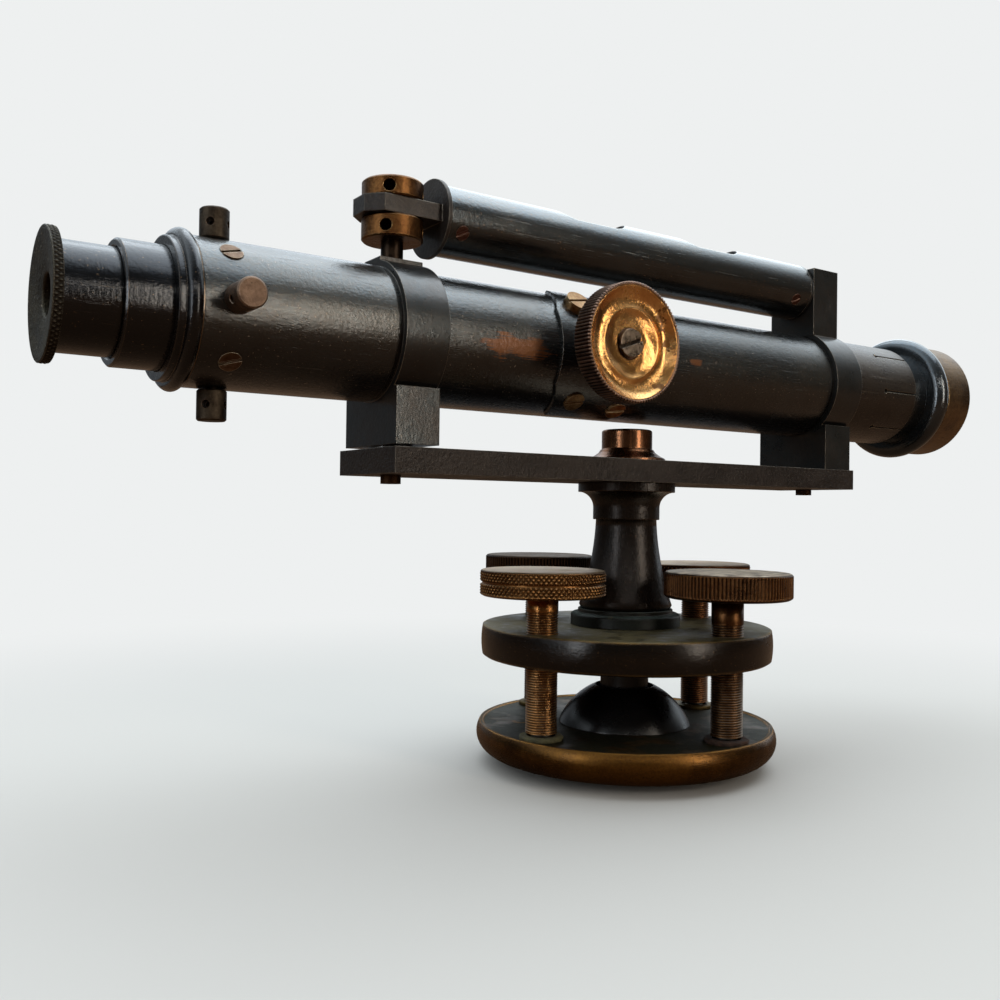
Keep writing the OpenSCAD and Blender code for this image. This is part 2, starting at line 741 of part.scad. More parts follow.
module end_ring() color("black") along_x() rotate_extrude() difference() {
    union() {
        square_at(end_step_r, tube_left - end_ring_w - end_step_w, tube_left);
        square_at(end_ring_r - end_bead_r, tube_left - end_ring_w, tube_left);
        translate([end_ring_r - end_bead_r, tube_left - end_bead_x]) circle(end_bead_r);
        square_at(body_bore_r - fit, tube_left - 0.1, tube_left + 4);
    }
    translate([-cut, tube_left - 10]) square([eye_sleeve_r + fit + cut, 20]);
}

// A rectangle from the axis outwards, for a turned outline
module square_at(r, z0, z1) translate([0, z0]) square([r, z1 - z0]);

module eyepiece_sleeve() color("black") along_x() rotate_extrude()
    polygon([[eye_bore_r, eye_sleeve_x + 0.5], [eye_bore_r + 0.5, eye_sleeve_x],
        [eye_sleeve_r - 0.5, eye_sleeve_x], [eye_sleeve_r, eye_sleeve_x + 0.5],
        [eye_sleeve_r, sleeve_inner_x], [eye_bore_r, sleeve_inner_x]]);

module body_screws() color("tan") for (a = [45:90:315]) outward(reticle_x, a)
    slotted(body_screw_r, barrel_r - body_screw_depth, barrel_r + body_screw_proud, 0.6, 20);

module objective_sleeve() color("black") difference() {
    along_x() union() {
        tube(barrel_r, bore_r - fit, seat_x, right_x1 + cut);
        tube(sleeve_r, bore_r - fit, right_x1, sleeve_end);
    }
    for (k = [0:slit_count - 1]) along_x() rotate([0, 0, (k + 0.07) * 360 / slit_count]) {
        translate([0, -slit_w / 2, sleeve_end - slit_len]) cube([sleeve_r + cut, slit_w, slit_len + cut]);
        translate([0, 0, sleeve_end - slit_len]) rotate([0, 90, 0])
            cylinder(r = slit_drill_r, h = sleeve_r + cut);
    }
}

// Outline of the saddle plate seen from the near side, with its corners cut off
saddle_x1 = saddle_x0 + saddle_len;
saddle_cut_x = 5;
saddle_cut_z = 9;
module saddle_outline() polygon([[saddle_x0 + saddle_cut_x, -saddle_r],
    [saddle_x1 - saddle_cut_x, -saddle_r], [saddle_x1, saddle_cut_z - saddle_r],
    [saddle_x1, saddle_r - saddle_cut_z], [saddle_x1 - saddle_cut_x, saddle_r],
    [saddle_x0 + saddle_cut_x, saddle_r], [saddle_x0, saddle_r - saddle_cut_z],
    [saddle_x0, saddle_cut_z - saddle_r]]);

module saddle() color("black") difference() {
    union() {
        intersection() {
            along_x() rod(saddle_r, saddle_x0, saddle_x1);
            translate([0, -saddle_y, axis_z]) rotate([90, 0, 0]) linear_extrude(saddle_r) saddle_outline();
        }
        along_near() rod(saddle_boss_r, barrel_r - 2, knob_back - knob_hub_gap);
    }
    along_x() rod(barrel_r + fit, saddle_x0 - cut, saddle_x1 + cut);
    along_near() rod(pinion_hole_r, 0, knob_front);
    for (s = saddle_sites) at_saddle_screw(s) rod(s[3] + fit, saddle_seat, saddle_r + s[2] + cut);
    for (s = saddle_sites) at_saddle_screw(s) rod(shank_r, 0, saddle_r + cut);
}

module saddle_screws() color("chocolate") for (s = saddle_sites) at_saddle_screw(s) union() {
    rod(shank_r - fit, bore_r + 0.05, saddle_seat + 0.5);
    slotted(s[3], saddle_seat, saddle_r + s[2], 0.7, 12);
}

module pinion_bush() color("goldenrod")
    along_near() tube(bush_r, shaft_r + fit, bore_r + fit, knob_back - knob_hub_gap);

module adjusting_stud() color("dimgray") translate([stud_x, 0, 0])
    bevelled(stud_r, axis_z + barrel_r + 0.1, stud_top - 0.2, 0.4);

module vial_pivot_pin() color("gray") translate([pivot_x, post_y, vial_z]) rotate([90, 0, 0])
    cylinder(r = pin_r, h = 2 * post_y - 3);

// The knob's hollow face and its small centre recess
dish_r = 7.2;
dish_at = 11.8;
knob_bevel = 0.6;
knob_recess_r = 4.8;
knob_seat = knob_t - 3.4;
knob_web = 1.4;
knob_hub_r = 6.5;
knob_skirt = 2.2;

module focus_knob() color("goldenrod") along_near(knob_back) difference() {
    rotate_extrude() difference() {
        polygon([[0, -knob_hub_gap / 2], [knob_hub_r, -knob_hub_gap / 2], [knob_hub_r, knob_web],
            [knob_r - knob_skirt, knob_web], [knob_r - knob_skirt + 0.6, 0], [knob_r - knob_bevel, 0],
            [knob_r, knob_bevel], [knob_r, knob_t - knob_bevel], [knob_r - knob_bevel, knob_t], [0, knob_t]]);
        translate([dish_at, knob_t + 3.4]) circle(dish_r);
        translate([-cut, knob_seat]) square([knob_recess_r + cut, knob_t]);
        translate([-cut, knob_t - 1.4]) square([8, 3]);
    }
    rod(shaft_r + 0.02, -cut, knob_seat + cut);
}

module knob_screw() color("gray") along_near(knob_back) union() {
    rod(1.2, -1.5, knob_seat + 0.2);
    slotted(4, knob_seat, knob_seat + 1.7, 0.8, 80);
}

// Involute gear tooth: the flank starts at the base circle, and a point whose
// roll is t lies at base_r * sqrt(1 + t * t), turned by t - atan(t)
tip_roll = sqrt(pow(tip_r / base_r, 2) - 1);
function roll_turn(t) = t * 180 / PI - atan(t);
half_tooth = 90 / pinion_teeth - (pinion_backlash / 2) / pitch_r * 180 / PI + roll_turn(tan(20));
function flank(t, side) =
    let (a = side * (half_tooth - roll_turn(t)), r = base_r * sqrt(1 + t * t)) [r * cos(a), r * sin(a)];
flank_steps = 5;
rolls = [for (k = [0:flank_steps]) tip_roll * k / flank_steps];

module pinion_tooth() polygon(concat(
    [[root_r - 0.4, -root_r * sin(half_tooth)]],
    [for (t = rolls) flank(t, -1)],
    [for (k = [flank_steps:-1:0]) flank(rolls[k], 1)],
    [[root_r - 0.4, root_r * sin(half_tooth)]]));

module pinion() color("gray") along_near() difference() {
    union() {
        translate([0, 0, pinion_y]) linear_extrude(pinion_face) union() {
            circle(root_r);
            for (k = [0:pinion_teeth - 1]) rotate(90 + k * 360 / pinion_teeth) pinion_tooth();
        }
        rod(shaft_r, pinion_y + pinion_face - 0.5, knob_back + knob_seat - 0.1);
    }
    rod(1.25, knob_back - 2, knob_back + knob_seat);
}

// The rack's teeth hang down and a space lies over the pinion at rest
rack_pitch = PI * gear_m;
rack_teeth = 19;
rack_pitch_z = pitch_r;
module rack_tooth(x) let (w = rack_pitch / 2 - rack_backlash, d = rack_dedendum + 0.3, tanp = tan(20))
    polygon([[x - w / 2 - d * tanp, rack_pitch_z + d],
        [x - w / 2 + rack_addendum * tanp, rack_pitch_z - rack_addendum],
        [x + w / 2 - rack_addendum * tanp, rack_pitch_z - rack_addendum],
        [x + w / 2 + d * tanp, rack_pitch_z + d]]);

draw_slot_x0 = draw_back_x + draw_ring_w;
rack_x0 = draw_slot_x0 + 0.1;
rack_x1 = slot_x1 - 0.1;
rack_first = -10;

module rack() color("darkgoldenrod") difference() {
    translate([0, -rack_y0, axis_z]) rotate([90, 0, 0]) linear_extrude(rack_y1 - rack_y0) intersection() {
        union() {
            translate([rack_x0, rack_pitch_z + rack_dedendum])
                square([rack_x1 - rack_x0, rack_h - rack_pitch_z - rack_dedendum]);
            for (k = [0:rack_teeth - 1]) rack_tooth(knob_x + (rack_first + k - 1.5) * rack_pitch);
        }
        translate([rack_x0, 0]) square([rack_x1 - rack_x0, 20]);
    }
    translate([rack_x0 - cut, -20, axis_z + slot_top]) intersection() {
        cube([rack_x1 - rack_x0 + 2 * cut, 40, 20]);
        translate([0, 20, -slot_top]) rotate([0, 90, 0])
            cylinder(r = draw_inner_r + 0.02, h = rack_x1 - rack_x0 + 2 * cut);
    }
}

module draw_tube() color("dimgray") difference() {
    along_x() rotate_extrude() polygon([[draw_inner_in_r, draw_back_x], [draw_r, draw_back_x],
        [draw_r, draw_slot_x0], [draw_inner_r, draw_slot_x0], [draw_inner_r, draw_step_x],
        [draw_r, draw_step_x], [draw_r, bead_x], [draw_in_r, bead_x], [draw_in_r, draw_step_x + 2],
        [draw_inner_in_r, draw_step_x + 2]]);
    translate([draw_slot_x0, -draw_r, axis_z - slot_bottom])
        cube([slot_x1 - draw_slot_x0, draw_r, slot_bottom + slot_top]);
}

module objective_cell() color("black") along_x() rotate_extrude() difference() {
    union() {
        square_at(bead_r - bead_round, bead_x, bead_x + 2 * bead_round);
        translate([bead_r - bead_round, bead_x + bead_round]) circle(bead_round);
        square_at(groove_r, bead_x, mount_x);
        square_at(lens_r, mount_x - cut, mount_x + 1.5);
    }
    translate([-cut, bead_x - cut]) square([draw_in_r + cut, bead_w + 6]);
}

module objective_mount() color("saddlebrown") along_x() rotate_extrude() difference() {
    polygon([[0, mount_x], [mount_r - 0.3, mount_x], [mount_r, mount_x + 0.3], [mount_r, mount_end - 0.5],
        [mount_r - 0.5, mount_end], [0, mount_end]]);
    translate([-cut, mount_x - cut]) square([lens_r + fit + cut, mount_len + 2 * cut]);
}

// The crown bulges on both sides; the flint is hollow where the crown lies in it
lens_round = 90;
flint_t = 1.2;
crown_edge = 0.8;
lens_sag = lens_round - sqrt(lens_round * lens_round - lens_r * lens_r);
crown_x = lens_seat_x + flint_t + lens_sag;
lens_rim_x = crown_x + crown_edge;

// A round whose curve is drawn finely enough for a lens
module lens_circle(z) translate([0, z]) circle(r = lens_round, $fn = 360);

module crown_lens() color("lightcyan", 0.4) along_x() rotate_extrude() intersection() {
    square_at(lens_r, crown_x - lens_sag - cut, lens_rim_x + lens_sag + cut);
    lens_circle(crown_x - lens_sag + lens_round + fit);
    lens_circle(lens_rim_x + lens_sag - lens_round);
}

module flint_lens() color("lightcyan", 0.4) along_x() rotate_extrude() difference() {
    square_at(lens_r, lens_seat_x, crown_x);
    lens_circle(crown_x - lens_sag + lens_round);
}

module lens_ring() color("black") along_x()
    tube(lens_r, lens_r - 2.4, lens_rim_x + lens_ring_gap, lens_rim_x + lens_ring_gap + lens_ring_t);

module eyepiece_tube() color("black") along_x() tube(eye_tube_r, eye_tube_in_r, eye_tube_x, eye_tube_end);

module eyepiece_cap() color("gray") along_x() rotate_extrude() polygon([[eye_hole_r, eye_disc_x + 1.4],
    [eye_disc_r - 1.2, eye_disc_x], [eye_disc_r - 0.3, eye_disc_x], [eye_disc_r, eye_disc_x + 0.3],
    [eye_disc_r, eye_disc_x + eye_disc_t - 0.3], [eye_disc_r - 0.3, eye_disc_x + eye_disc_t],
    [eye_tube_in_r - fit, eye_disc_x + eye_disc_t], [eye_tube_in_r - fit, eye_disc_x + 6],
    [eye_tube_in_r - 1.5, eye_disc_x + 6], [eye_hole_r, eye_disc_x + 3.4]]);

// A plano-convex lens lying between two places
module plano_convex(x0, x1, faces_right) along_x() rotate_extrude() intersection() {
    square_at(eye_lens_r, x0, x1);
    translate([0, faces_right ? x1 - eye_lens_round : x0 + eye_lens_round])
        circle(r = eye_lens_round, $fn = 240);
}

module eyepiece_lenses() color("lightcyan", 0.4) {
    plano_convex(eye_disc_x + 6.1, eye_disc_x + 6.1 + eye_lens_t + 0.6, true);
    plano_convex(eye_tube_end - eye_lens_t - 1, eye_tube_end - 0.4, false);
}

// The reticle and its side screws stand a little above the telescope's axis
module raised_reticle() translate([0, 0, reticle_rise]) children();

module reticle_ring() color("goldenrod") raised_reticle() difference() {
    along_x() tube(reticle_r, reticle_bore_r, reticle_x - reticle_half_w, reticle_x + reticle_half_w);
    for (a = [0:90:270]) outward(reticle_x, a) rod(shank_r + fit, reticle_bore_r - 3, reticle_r + cut);
}

module cross_hairs() color("black") raised_reticle() {
    along_x(reticle_x + reticle_half_w + 0.15) rotate([90, 0, 0]) rod(hair_r, -hair_len / 2, hair_len / 2);
    along_x(reticle_x + reticle_half_w + 0.37) rotate([0, 90, 0]) rod(hair_r, -hair_len / 2, hair_len / 2);
}

// A capstan-headed screw, drilled crosswise for a tommy bar
module capstan_screw(end, turn) difference() {
    union() {
        rod(shank_r, screw_nose_r, barrel_r + 0.5);
        bevelled(capstan_r, barrel_r + 0.15, end, 0.4);
    }
    for (a = [turn, turn + 90]) rotate([0, 0, a]) translate([-capstan_r - cut, 0, (barrel_r + end) / 2])
        rotate([0, 90, 0]) cylinder(r = cross_hole_r, h = 2 * (capstan_r + cut));
}

module reticle_side_screws() color("rosybrown") for (a = [0, 180])
    outward(reticle_x, a, reticle_z) capstan_screw(side_end, 20);
module reticle_tilt_screws() color("dimgray") {
    outward(reticle_x, 90) capstan_screw(capstan_end, 56);
    outward(reticle_x, 270) capstan_screw(capstan_end, 41);
}

module along_vial() translate([0, 0, vial_h]) along_x() children();
window_x = [bridge_x - bridge_w / 2 - window_len, bridge_x + bridge_w / 2];
casing_screw_x = [vial_x0 + 5.2, vial_x1 - 7.2];

module vial_casing() color("black") difference() {
    along_vial() tube(vial_r, vial_in_r, vial_x0, vial_x1);
    for (x = window_x) {
        translate([x + window_w / 2, -window_w / 2, vial_z])
            cube([window_len - window_w, window_w, vial_r + cut]);
        for (e = [window_w / 2, window_len - window_w / 2]) translate([x + e, 0, vial_z])
            cylinder(r = window_w / 2, h = vial_r + cut);
    }
    for (x = casing_screw_x) for (a = casing_screw_angles)
        outward(x, a, vial_z) rod(casing_screw_r + fit, vial_in_r - cut, vial_r + cut);
}

module casing_screws() color("chocolate") for (x = casing_screw_x) for (a = casing_screw_angles)
    outward(x, a, vial_z) slotted(casing_screw_r, vial_in_r - 0.9, vial_r, 0.5, 30);

module vial_tail() color("dimgray") difference() {
    union() {
        along_vial() rod(tail_r, vial_x0 - tail_t, vial_x0 - 0.02);
        along_vial() rod(vial_in_r - fit, vial_x0 - 0.1, vial_x0 + 8);
        translate([0, 0, lug_z]) linear_extrude(lug_t) polygon([[lug_x + lug_cut, lug_y],
            [lug_x, lug_y - lug_cut], [lug_x, lug_cut - lug_y], [lug_x + lug_cut, -lug_y],
            [vial_x0 - 0.5, -lug_y], [vial_x0 - 0.5, lug_y]]);
    }
    translate([stud_x, 0, 0]) rod(stud_r + 0.3, lug_z - cut, lug_z + lug_t + cut);
    for (a = casing_screw_angles)
        outward(casing_screw_x[0], a, vial_z) rod(casing_screw_r + fit, vial_in_r - 1, vial_r);
}

module vial_tongue() color("dimgray") difference() {
    union() {
        along_vial() rod(vial_in_r - fit, vial_x1 - 10, vial_x1 + 0.1);
        along_vial() rod(vial_r, vial_x1 + 0.02, vial_x1 + 1.2);
        translate([vial_x1 + 0.5, -tongue_y, vial_z - tongue_h])
            cube([pivot_x + 3.7 - vial_x1, 2 * tongue_y, 2 * tongue_h]);
    }
    translate([pivot_x, tongue_y + cut, vial_z]) rotate([90, 0, 0])
        cylinder(r = pin_r + fit, h = 2 * (tongue_y + cut));
    for (a = casing_screw_angles)
        outward(casing_screw_x[1], a, vial_z) rod(casing_screw_r + fit, vial_in_r - 1, vial_r);
}

module vial_glass() color("lightcyan", 0.4)
    along_vial() tube(glass_r, glass_r - glass_wall, glass_x0, glass_x1);

module vial_spirit() color("palegreen", 0.5) difference() {
    along_vial() rod(glass_r - glass_wall - fit, glass_x0 + 0.1, glass_x1 - 0.1);
    translate([bridge_x - bubble_len / 2, 0, vial_z + glass_r - glass_wall - bubble_depth + 5])
        rotate([0, 90, 0]) cylinder(r = 5, h = bubble_len);
}

module vial_packing() color("beige") along_vial() {
    difference() {
        rod(vial_in_r - fit, glass_x0 - 2, glass_x0 + packing_t);
        rod(glass_r + 0.02, glass_x0, glass_x0 + packing_t + cut);
    }
    difference() {
        rod(vial_in_r - fit, glass_x1 - packing_t, glass_x1 + 2);
        rod(glass_r + 0.02, glass_x1 - packing_t - cut, glass_x1);
    }
}

// One capstan nut of a given height, drilled crosswise a little below its middle
module capstan_nut(z0, t, turn) difference() {
    bevelled(nut_r, z0, z0 + t, 0.5);
    rod(stud_r + fit, z0 - cut, z0 + t + cut);
    for (a = [turn, turn + 90]) rotate([0, 0, a]) translate([-nut_r - cut, 0, z0 + 0.45 * t])
        rotate([0, 90, 0]) cylinder(r = nut_hole_r, h = 2 * (nut_r + cut));
}

module capstan_nuts() color("peru") translate([stud_x, 0, 0]) {
    capstan_nut(lug_z - nut_gap - nut_low_t, nut_low_t, 50);
    capstan_nut(lug_z + lug_t + nut_gap, nut_high_t, 56);
}

foot_plate();
ball_dome();
ball_keeper();
screw_shoes();
ball_cup();
ball_stem();
upper_plate();
base_collar();
spindle();
spindle_screw();
level_point(0);  // level_point_1
level_point(1);  // level_point_2
level_point(2);  // level_point_3
level_point(3);  // level_point_4
level_screw(0, true, "chocolate");  // level_screw_1
level_screw(1, false, "saddlebrown", second_raise);  // level_screw_2
level_screw(2, true, "goldenrod");  // level_screw_3
level_screw(3, false, "saddlebrown");  // level_screw_4
column();
bar();
cap_nut();
left_collar();
right_collar();
collar_screws();
barrel();
eyepiece_body();
end_ring();
eyepiece_sleeve();
body_screws();
objective_sleeve();
saddle();
saddle_screws();
pinion_bush();
adjusting_stud();
vial_pivot_pin();
focus_knob();
knob_screw();
pinion();
draw_tube();
rack();
objective_cell();
objective_mount();
crown_lens();
flint_lens();
lens_ring();
eyepiece_tube();
eyepiece_cap();
eyepiece_lenses();
reticle_ring();
cross_hairs();
reticle_side_screws();
reticle_tilt_screws();
vial_casing();
vial_tail();
vial_tongue();
vial_glass();
vial_spirit();
vial_packing();
casing_screws();
capstan_nuts();
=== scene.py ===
# An old four-screw surveying level: telescope, spirit level, column and levelling head.
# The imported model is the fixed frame, and each section below dresses one piece of it.
import math

import bmesh
import bpy
import numpy as np
from mathutils import Matrix


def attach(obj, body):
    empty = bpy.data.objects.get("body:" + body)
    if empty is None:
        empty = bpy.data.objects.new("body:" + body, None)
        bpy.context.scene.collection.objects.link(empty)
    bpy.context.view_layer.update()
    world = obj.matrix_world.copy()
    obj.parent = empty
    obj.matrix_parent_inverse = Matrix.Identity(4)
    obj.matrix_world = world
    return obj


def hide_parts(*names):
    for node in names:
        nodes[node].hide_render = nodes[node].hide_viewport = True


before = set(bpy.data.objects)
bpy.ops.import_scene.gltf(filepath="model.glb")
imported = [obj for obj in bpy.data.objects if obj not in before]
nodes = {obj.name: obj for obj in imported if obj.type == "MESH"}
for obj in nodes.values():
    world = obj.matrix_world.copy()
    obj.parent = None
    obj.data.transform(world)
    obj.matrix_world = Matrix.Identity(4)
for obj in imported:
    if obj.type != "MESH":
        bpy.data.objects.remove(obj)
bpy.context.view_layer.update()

# ---------------------------------------------------------------------------------------
# Camera, floor and light. The camera stands before the eyepiece end, a little lower than
# the bar, and looks along the near side of the telescope.
# ---------------------------------------------------------------------------------------
yaw, pitch, roll = 0.599, 0.012, 0.013
stand = (-0.2316, -0.2618, 0.0848)
ahead = np.array([math.sin(yaw), math.cos(yaw), 0.0])
side = np.array([math.cos(yaw), -math.sin(yaw), 0.0])
upright = np.array([0.0, 0.0, 1.0])
look = ahead * math.cos(pitch) + upright * math.sin(pitch)
lift = upright * math.cos(pitch) - ahead * math.sin(pitch)
right_hand = side * math.cos(roll) + lift * math.sin(roll)
over_head = lift * math.cos(roll) - side * math.sin(roll)
eye = bpy.data.objects.new("camera", bpy.data.cameras.new("camera"))
eye.data.lens = 36.10
eye.data.sensor_width = 36.0
eye.data.clip_start = 0.01
eye.data.clip_end = 50.0
eye.matrix_world = Matrix([[right_hand[i], over_head[i], -look[i], stand[i]] for i in range(3)]
                          + [[0, 0, 0, 1]])
bpy.context.scene.collection.objects.link(eye)
bpy.context.scene.camera = eye
bpy.context.scene.view_settings.view_transform = "Standard"


def shade(code):
    """Turns a six-figure colour code into the linear colour and alpha that a shader takes. Each part c
    becomes c / 12.92 when it is small, and ((c + 0.055) / 1.055) to the power 2.4 when it is not."""
    parts = np.array([int(code[i:i + 2], 16) / 255 for i in (0, 2, 4)])
    return (*np.where(parts <= 0.04045, parts / 12.92, ((parts + 0.055) / 1.055) ** 2.4).tolist(), 1.0)


def put(tree, kind, inputs=None, **settings):
    """Puts one node into a material. Each input is a number, a colour or another node's output."""
    node = tree.nodes.new("ShaderNode" + kind)
    for key, value in settings.items():
        setattr(node, key, value)
    for key, value in (inputs or {}).items():
        if isinstance(value, bpy.types.NodeSocket):
            tree.links.new(value, node.inputs[key])
        else:
            node.inputs[key].default_value = value
    return node


def calc(tree, operation, *values, clamp=False):
    """One step of arithmetic on numbers or outputs."""
    node = put(tree, "Math", dict(enumerate(values)), operation=operation, use_clamp=clamp)
    return node.outputs[0]


def mixed(tree, share, first, second):
    """Runs the first colour into the second by a share between 0 and 1."""
    node = put(tree, "Mix", {0: share, 6: first, 7: second}, data_type="RGBA")
    return node.outputs[2]


def spread(tree, value, low, high, to_low=0.0, to_high=1.0):
    """Stretches the part of a value between low and high over a new range. With x as the way from low
    to high, the share of the new range is 3 x^2 - 2 x^3."""
    node = put(tree, "MapRange", {0: value, 1: low, 2: high, 3: to_low, 4: to_high},
               interpolation_type="SMOOTHSTEP")
    return node.outputs[0]


def length(tree, way):
    """The length of a vector, the root of the sum of its squares."""
    return put(tree, "VectorMath", {0: way}, operation="LENGTH").outputs["Value"]


# The room: the camera sees a pale wall. What the metal mirrors grows brighter from the
# wall in front up to the ceiling and darker again behind, and is brightest in a band
# to the right. The tilt is the angle of elevation, counted from the front wall.
room = bpy.data.worlds.new("room")
bpy.context.scene.world = room
room.use_nodes = True
tree = room.node_tree
tree.nodes.clear()
way = put(tree, "SeparateXYZ", {0: put(tree, "TexCoord").outputs["Generated"]})
tilt = calc(tree, "ARCTAN2", way.outputs[2], calc(tree, "MULTIPLY", way.outputs[1], -1.0))
front_wall = mixed(tree, spread(tree, way.outputs[0], 0.3, 0.75), shade("7a7670"), shade("5e564c"))
back_wall = mixed(tree, spread(tree, way.outputs[0], -0.75, 0.25), shade("585c5e"), shade("d4dde6"))
around = mixed(tree, spread(tree, tilt, 0.55, 1.6), front_wall, shade("e8f3fa"))
around = mixed(tree, spread(tree, tilt, 2.2, 2.9), around, back_wall)
around = mixed(tree, spread(tree, way.outputs[2], -0.02, 0.0), shade("34261b"), around)
power = calc(tree, "MULTIPLY", spread(tree, tilt, 0.6, 1.9, 0.9, 2.9),
             spread(tree, tilt, 2.1, 2.9, 1.0, 0.26))
power = calc(tree, "MULTIPLY", power, spread(tree, way.outputs[0], 0.30, 0.62, 0.45, 1.0))
power = calc(tree, "MULTIPLY", power, spread(tree, way.outputs[0], 0.66, 0.8, 1.0, 0.55))
seen = put(tree, "Background", {0: shade("eef0f0"), 1: 1.0}).outputs[0]
mirrored = put(tree, "Background", {0: around, 1: power}).outputs[0]
choice = put(tree, "MixShader", {0: put(tree, "LightPath").outputs["Is Camera Ray"], 1: mirrored, 2: seen})
put(tree, "OutputWorld", {0: choice.outputs[0]})

# The floor lies a hair under the foot and fades into the wall away from it
half_wide, under_foot = 3, -0.00005
floor_grid = bpy.data.meshes.new("floor")
floor_grid.from_pydata([(-half_wide, -half_wide, under_foot), (half_wide, -half_wide, under_foot),
                        (half_wide, half_wide, under_foot), (-half_wide, half_wide, under_foot)], [],
                       [(0, 1, 2, 3)])
floor = bpy.data.objects.new("floor", floor_grid)
bpy.context.scene.collection.objects.link(floor)
pale = bpy.data.materials.new("pale_floor")
pale.use_nodes = True
tree = pale.node_tree
tree.nodes.clear()
reach = length(tree, put(tree, "TexCoord").outputs["Object"])
near_floor = put(tree, "BsdfDiffuse", {0: shade("d2cec8")}).outputs[0]
far_floor = put(tree, "Emission", {0: shade("eef0f0"), 1: 1.0}).outputs[0]
floor_seen = put(tree, "MixShader", {0: spread(tree, reach, 0.12, 0.5), 1: near_floor,
                                     2: far_floor}).outputs[0]
floor_felt = put(tree, "BsdfDiffuse", {0: shade("6a5240")}).outputs[0]
both = put(tree, "MixShader", {0: put(tree, "LightPath").outputs["Is Camera Ray"], 1: floor_felt,
                               2: floor_seen})
put(tree, "OutputMaterial", {0: both.outputs[0]})
floor_grid.materials.append(pale)


def lamp(name, place, aim, width, height, power, tint):
    """A flat soft light at a place. Its axis is the line from the aimed point to the place, its width
    lies level along the cross product of upright and axis, and its height along that of axis and
    width."""
    light = bpy.data.lights.new(name, "AREA")
    light.shape = "RECTANGLE"
    light.size, light.size_y, light.energy = width, height, power
    light.color = shade(tint)[:3]
    holder = bpy.data.objects.new(name, light)
    back = np.array(place, float) - np.array(aim, float)
    back /= np.linalg.norm(back)
    across = np.cross(upright, back)
    across /= np.linalg.norm(across)
    up_side = np.cross(back, across)
    holder.matrix_world = Matrix([[across[i], up_side[i], back[i], place[i]] for i in range(3)]
                                 + [[0, 0, 0, 1]])
    holder.visible_camera = False
    bpy.context.scene.collection.objects.link(holder)


lamp("ceiling", (0.2, 0.1, 1.3), (0, 0, 0.1), 1.8, 0.8, 9.0, "ecf6ff")
lamp("far_sky", (0.5, 1.6, 1.15), (0, 0, 0.15), 3.2, 0.6, 4.0, "e6f4ff")
lamp("high_window", (-0.6, -1.2, 0.70), (0, 0, 0.12), 1.6, 0.022, 1.5, "fffaf2")
lamp("left_window", (-1.35, -0.30, 0.22), (0, 0, 0.12), 0.20, 0.8, 3.0, "f4faff")
lamp("side_window", (0.30, -1.15, 0.28), (0, 0, 0.10), 0.20, 0.9, 4.5, "fff4e4")

# ---------------------------------------------------------------------------------------
# Foot plate: a bronze casting turned all over, painted dark on its dished top and worn
# to the metal along its rim. It is threaded underneath for the tripod's head. Outlines
# are rows of radius and place along the axis in millimetres, with a rounding where needed.
# ---------------------------------------------------------------------------------------
MM = 0.001


def noise(tree, place, scale, detail, rough=0.5):
    """Fractal noise between 0 and 1 at a place: each octave of detail is twice as fine and rough times
    as strong as the one before."""
    return put(tree, "TexNoise", {"Vector": place, "Scale": scale, "Detail": detail,
                                  "Roughness": rough}).outputs[0]


def vector(tree, operation, first, second):
    """One step of arithmetic on two vectors; a dot product gives a number."""
    node = put(tree, "VectorMath", {0: first, 1: second}, operation=operation)
    return node.outputs["Value" if operation == "DOT_PRODUCT" else "Vector"]


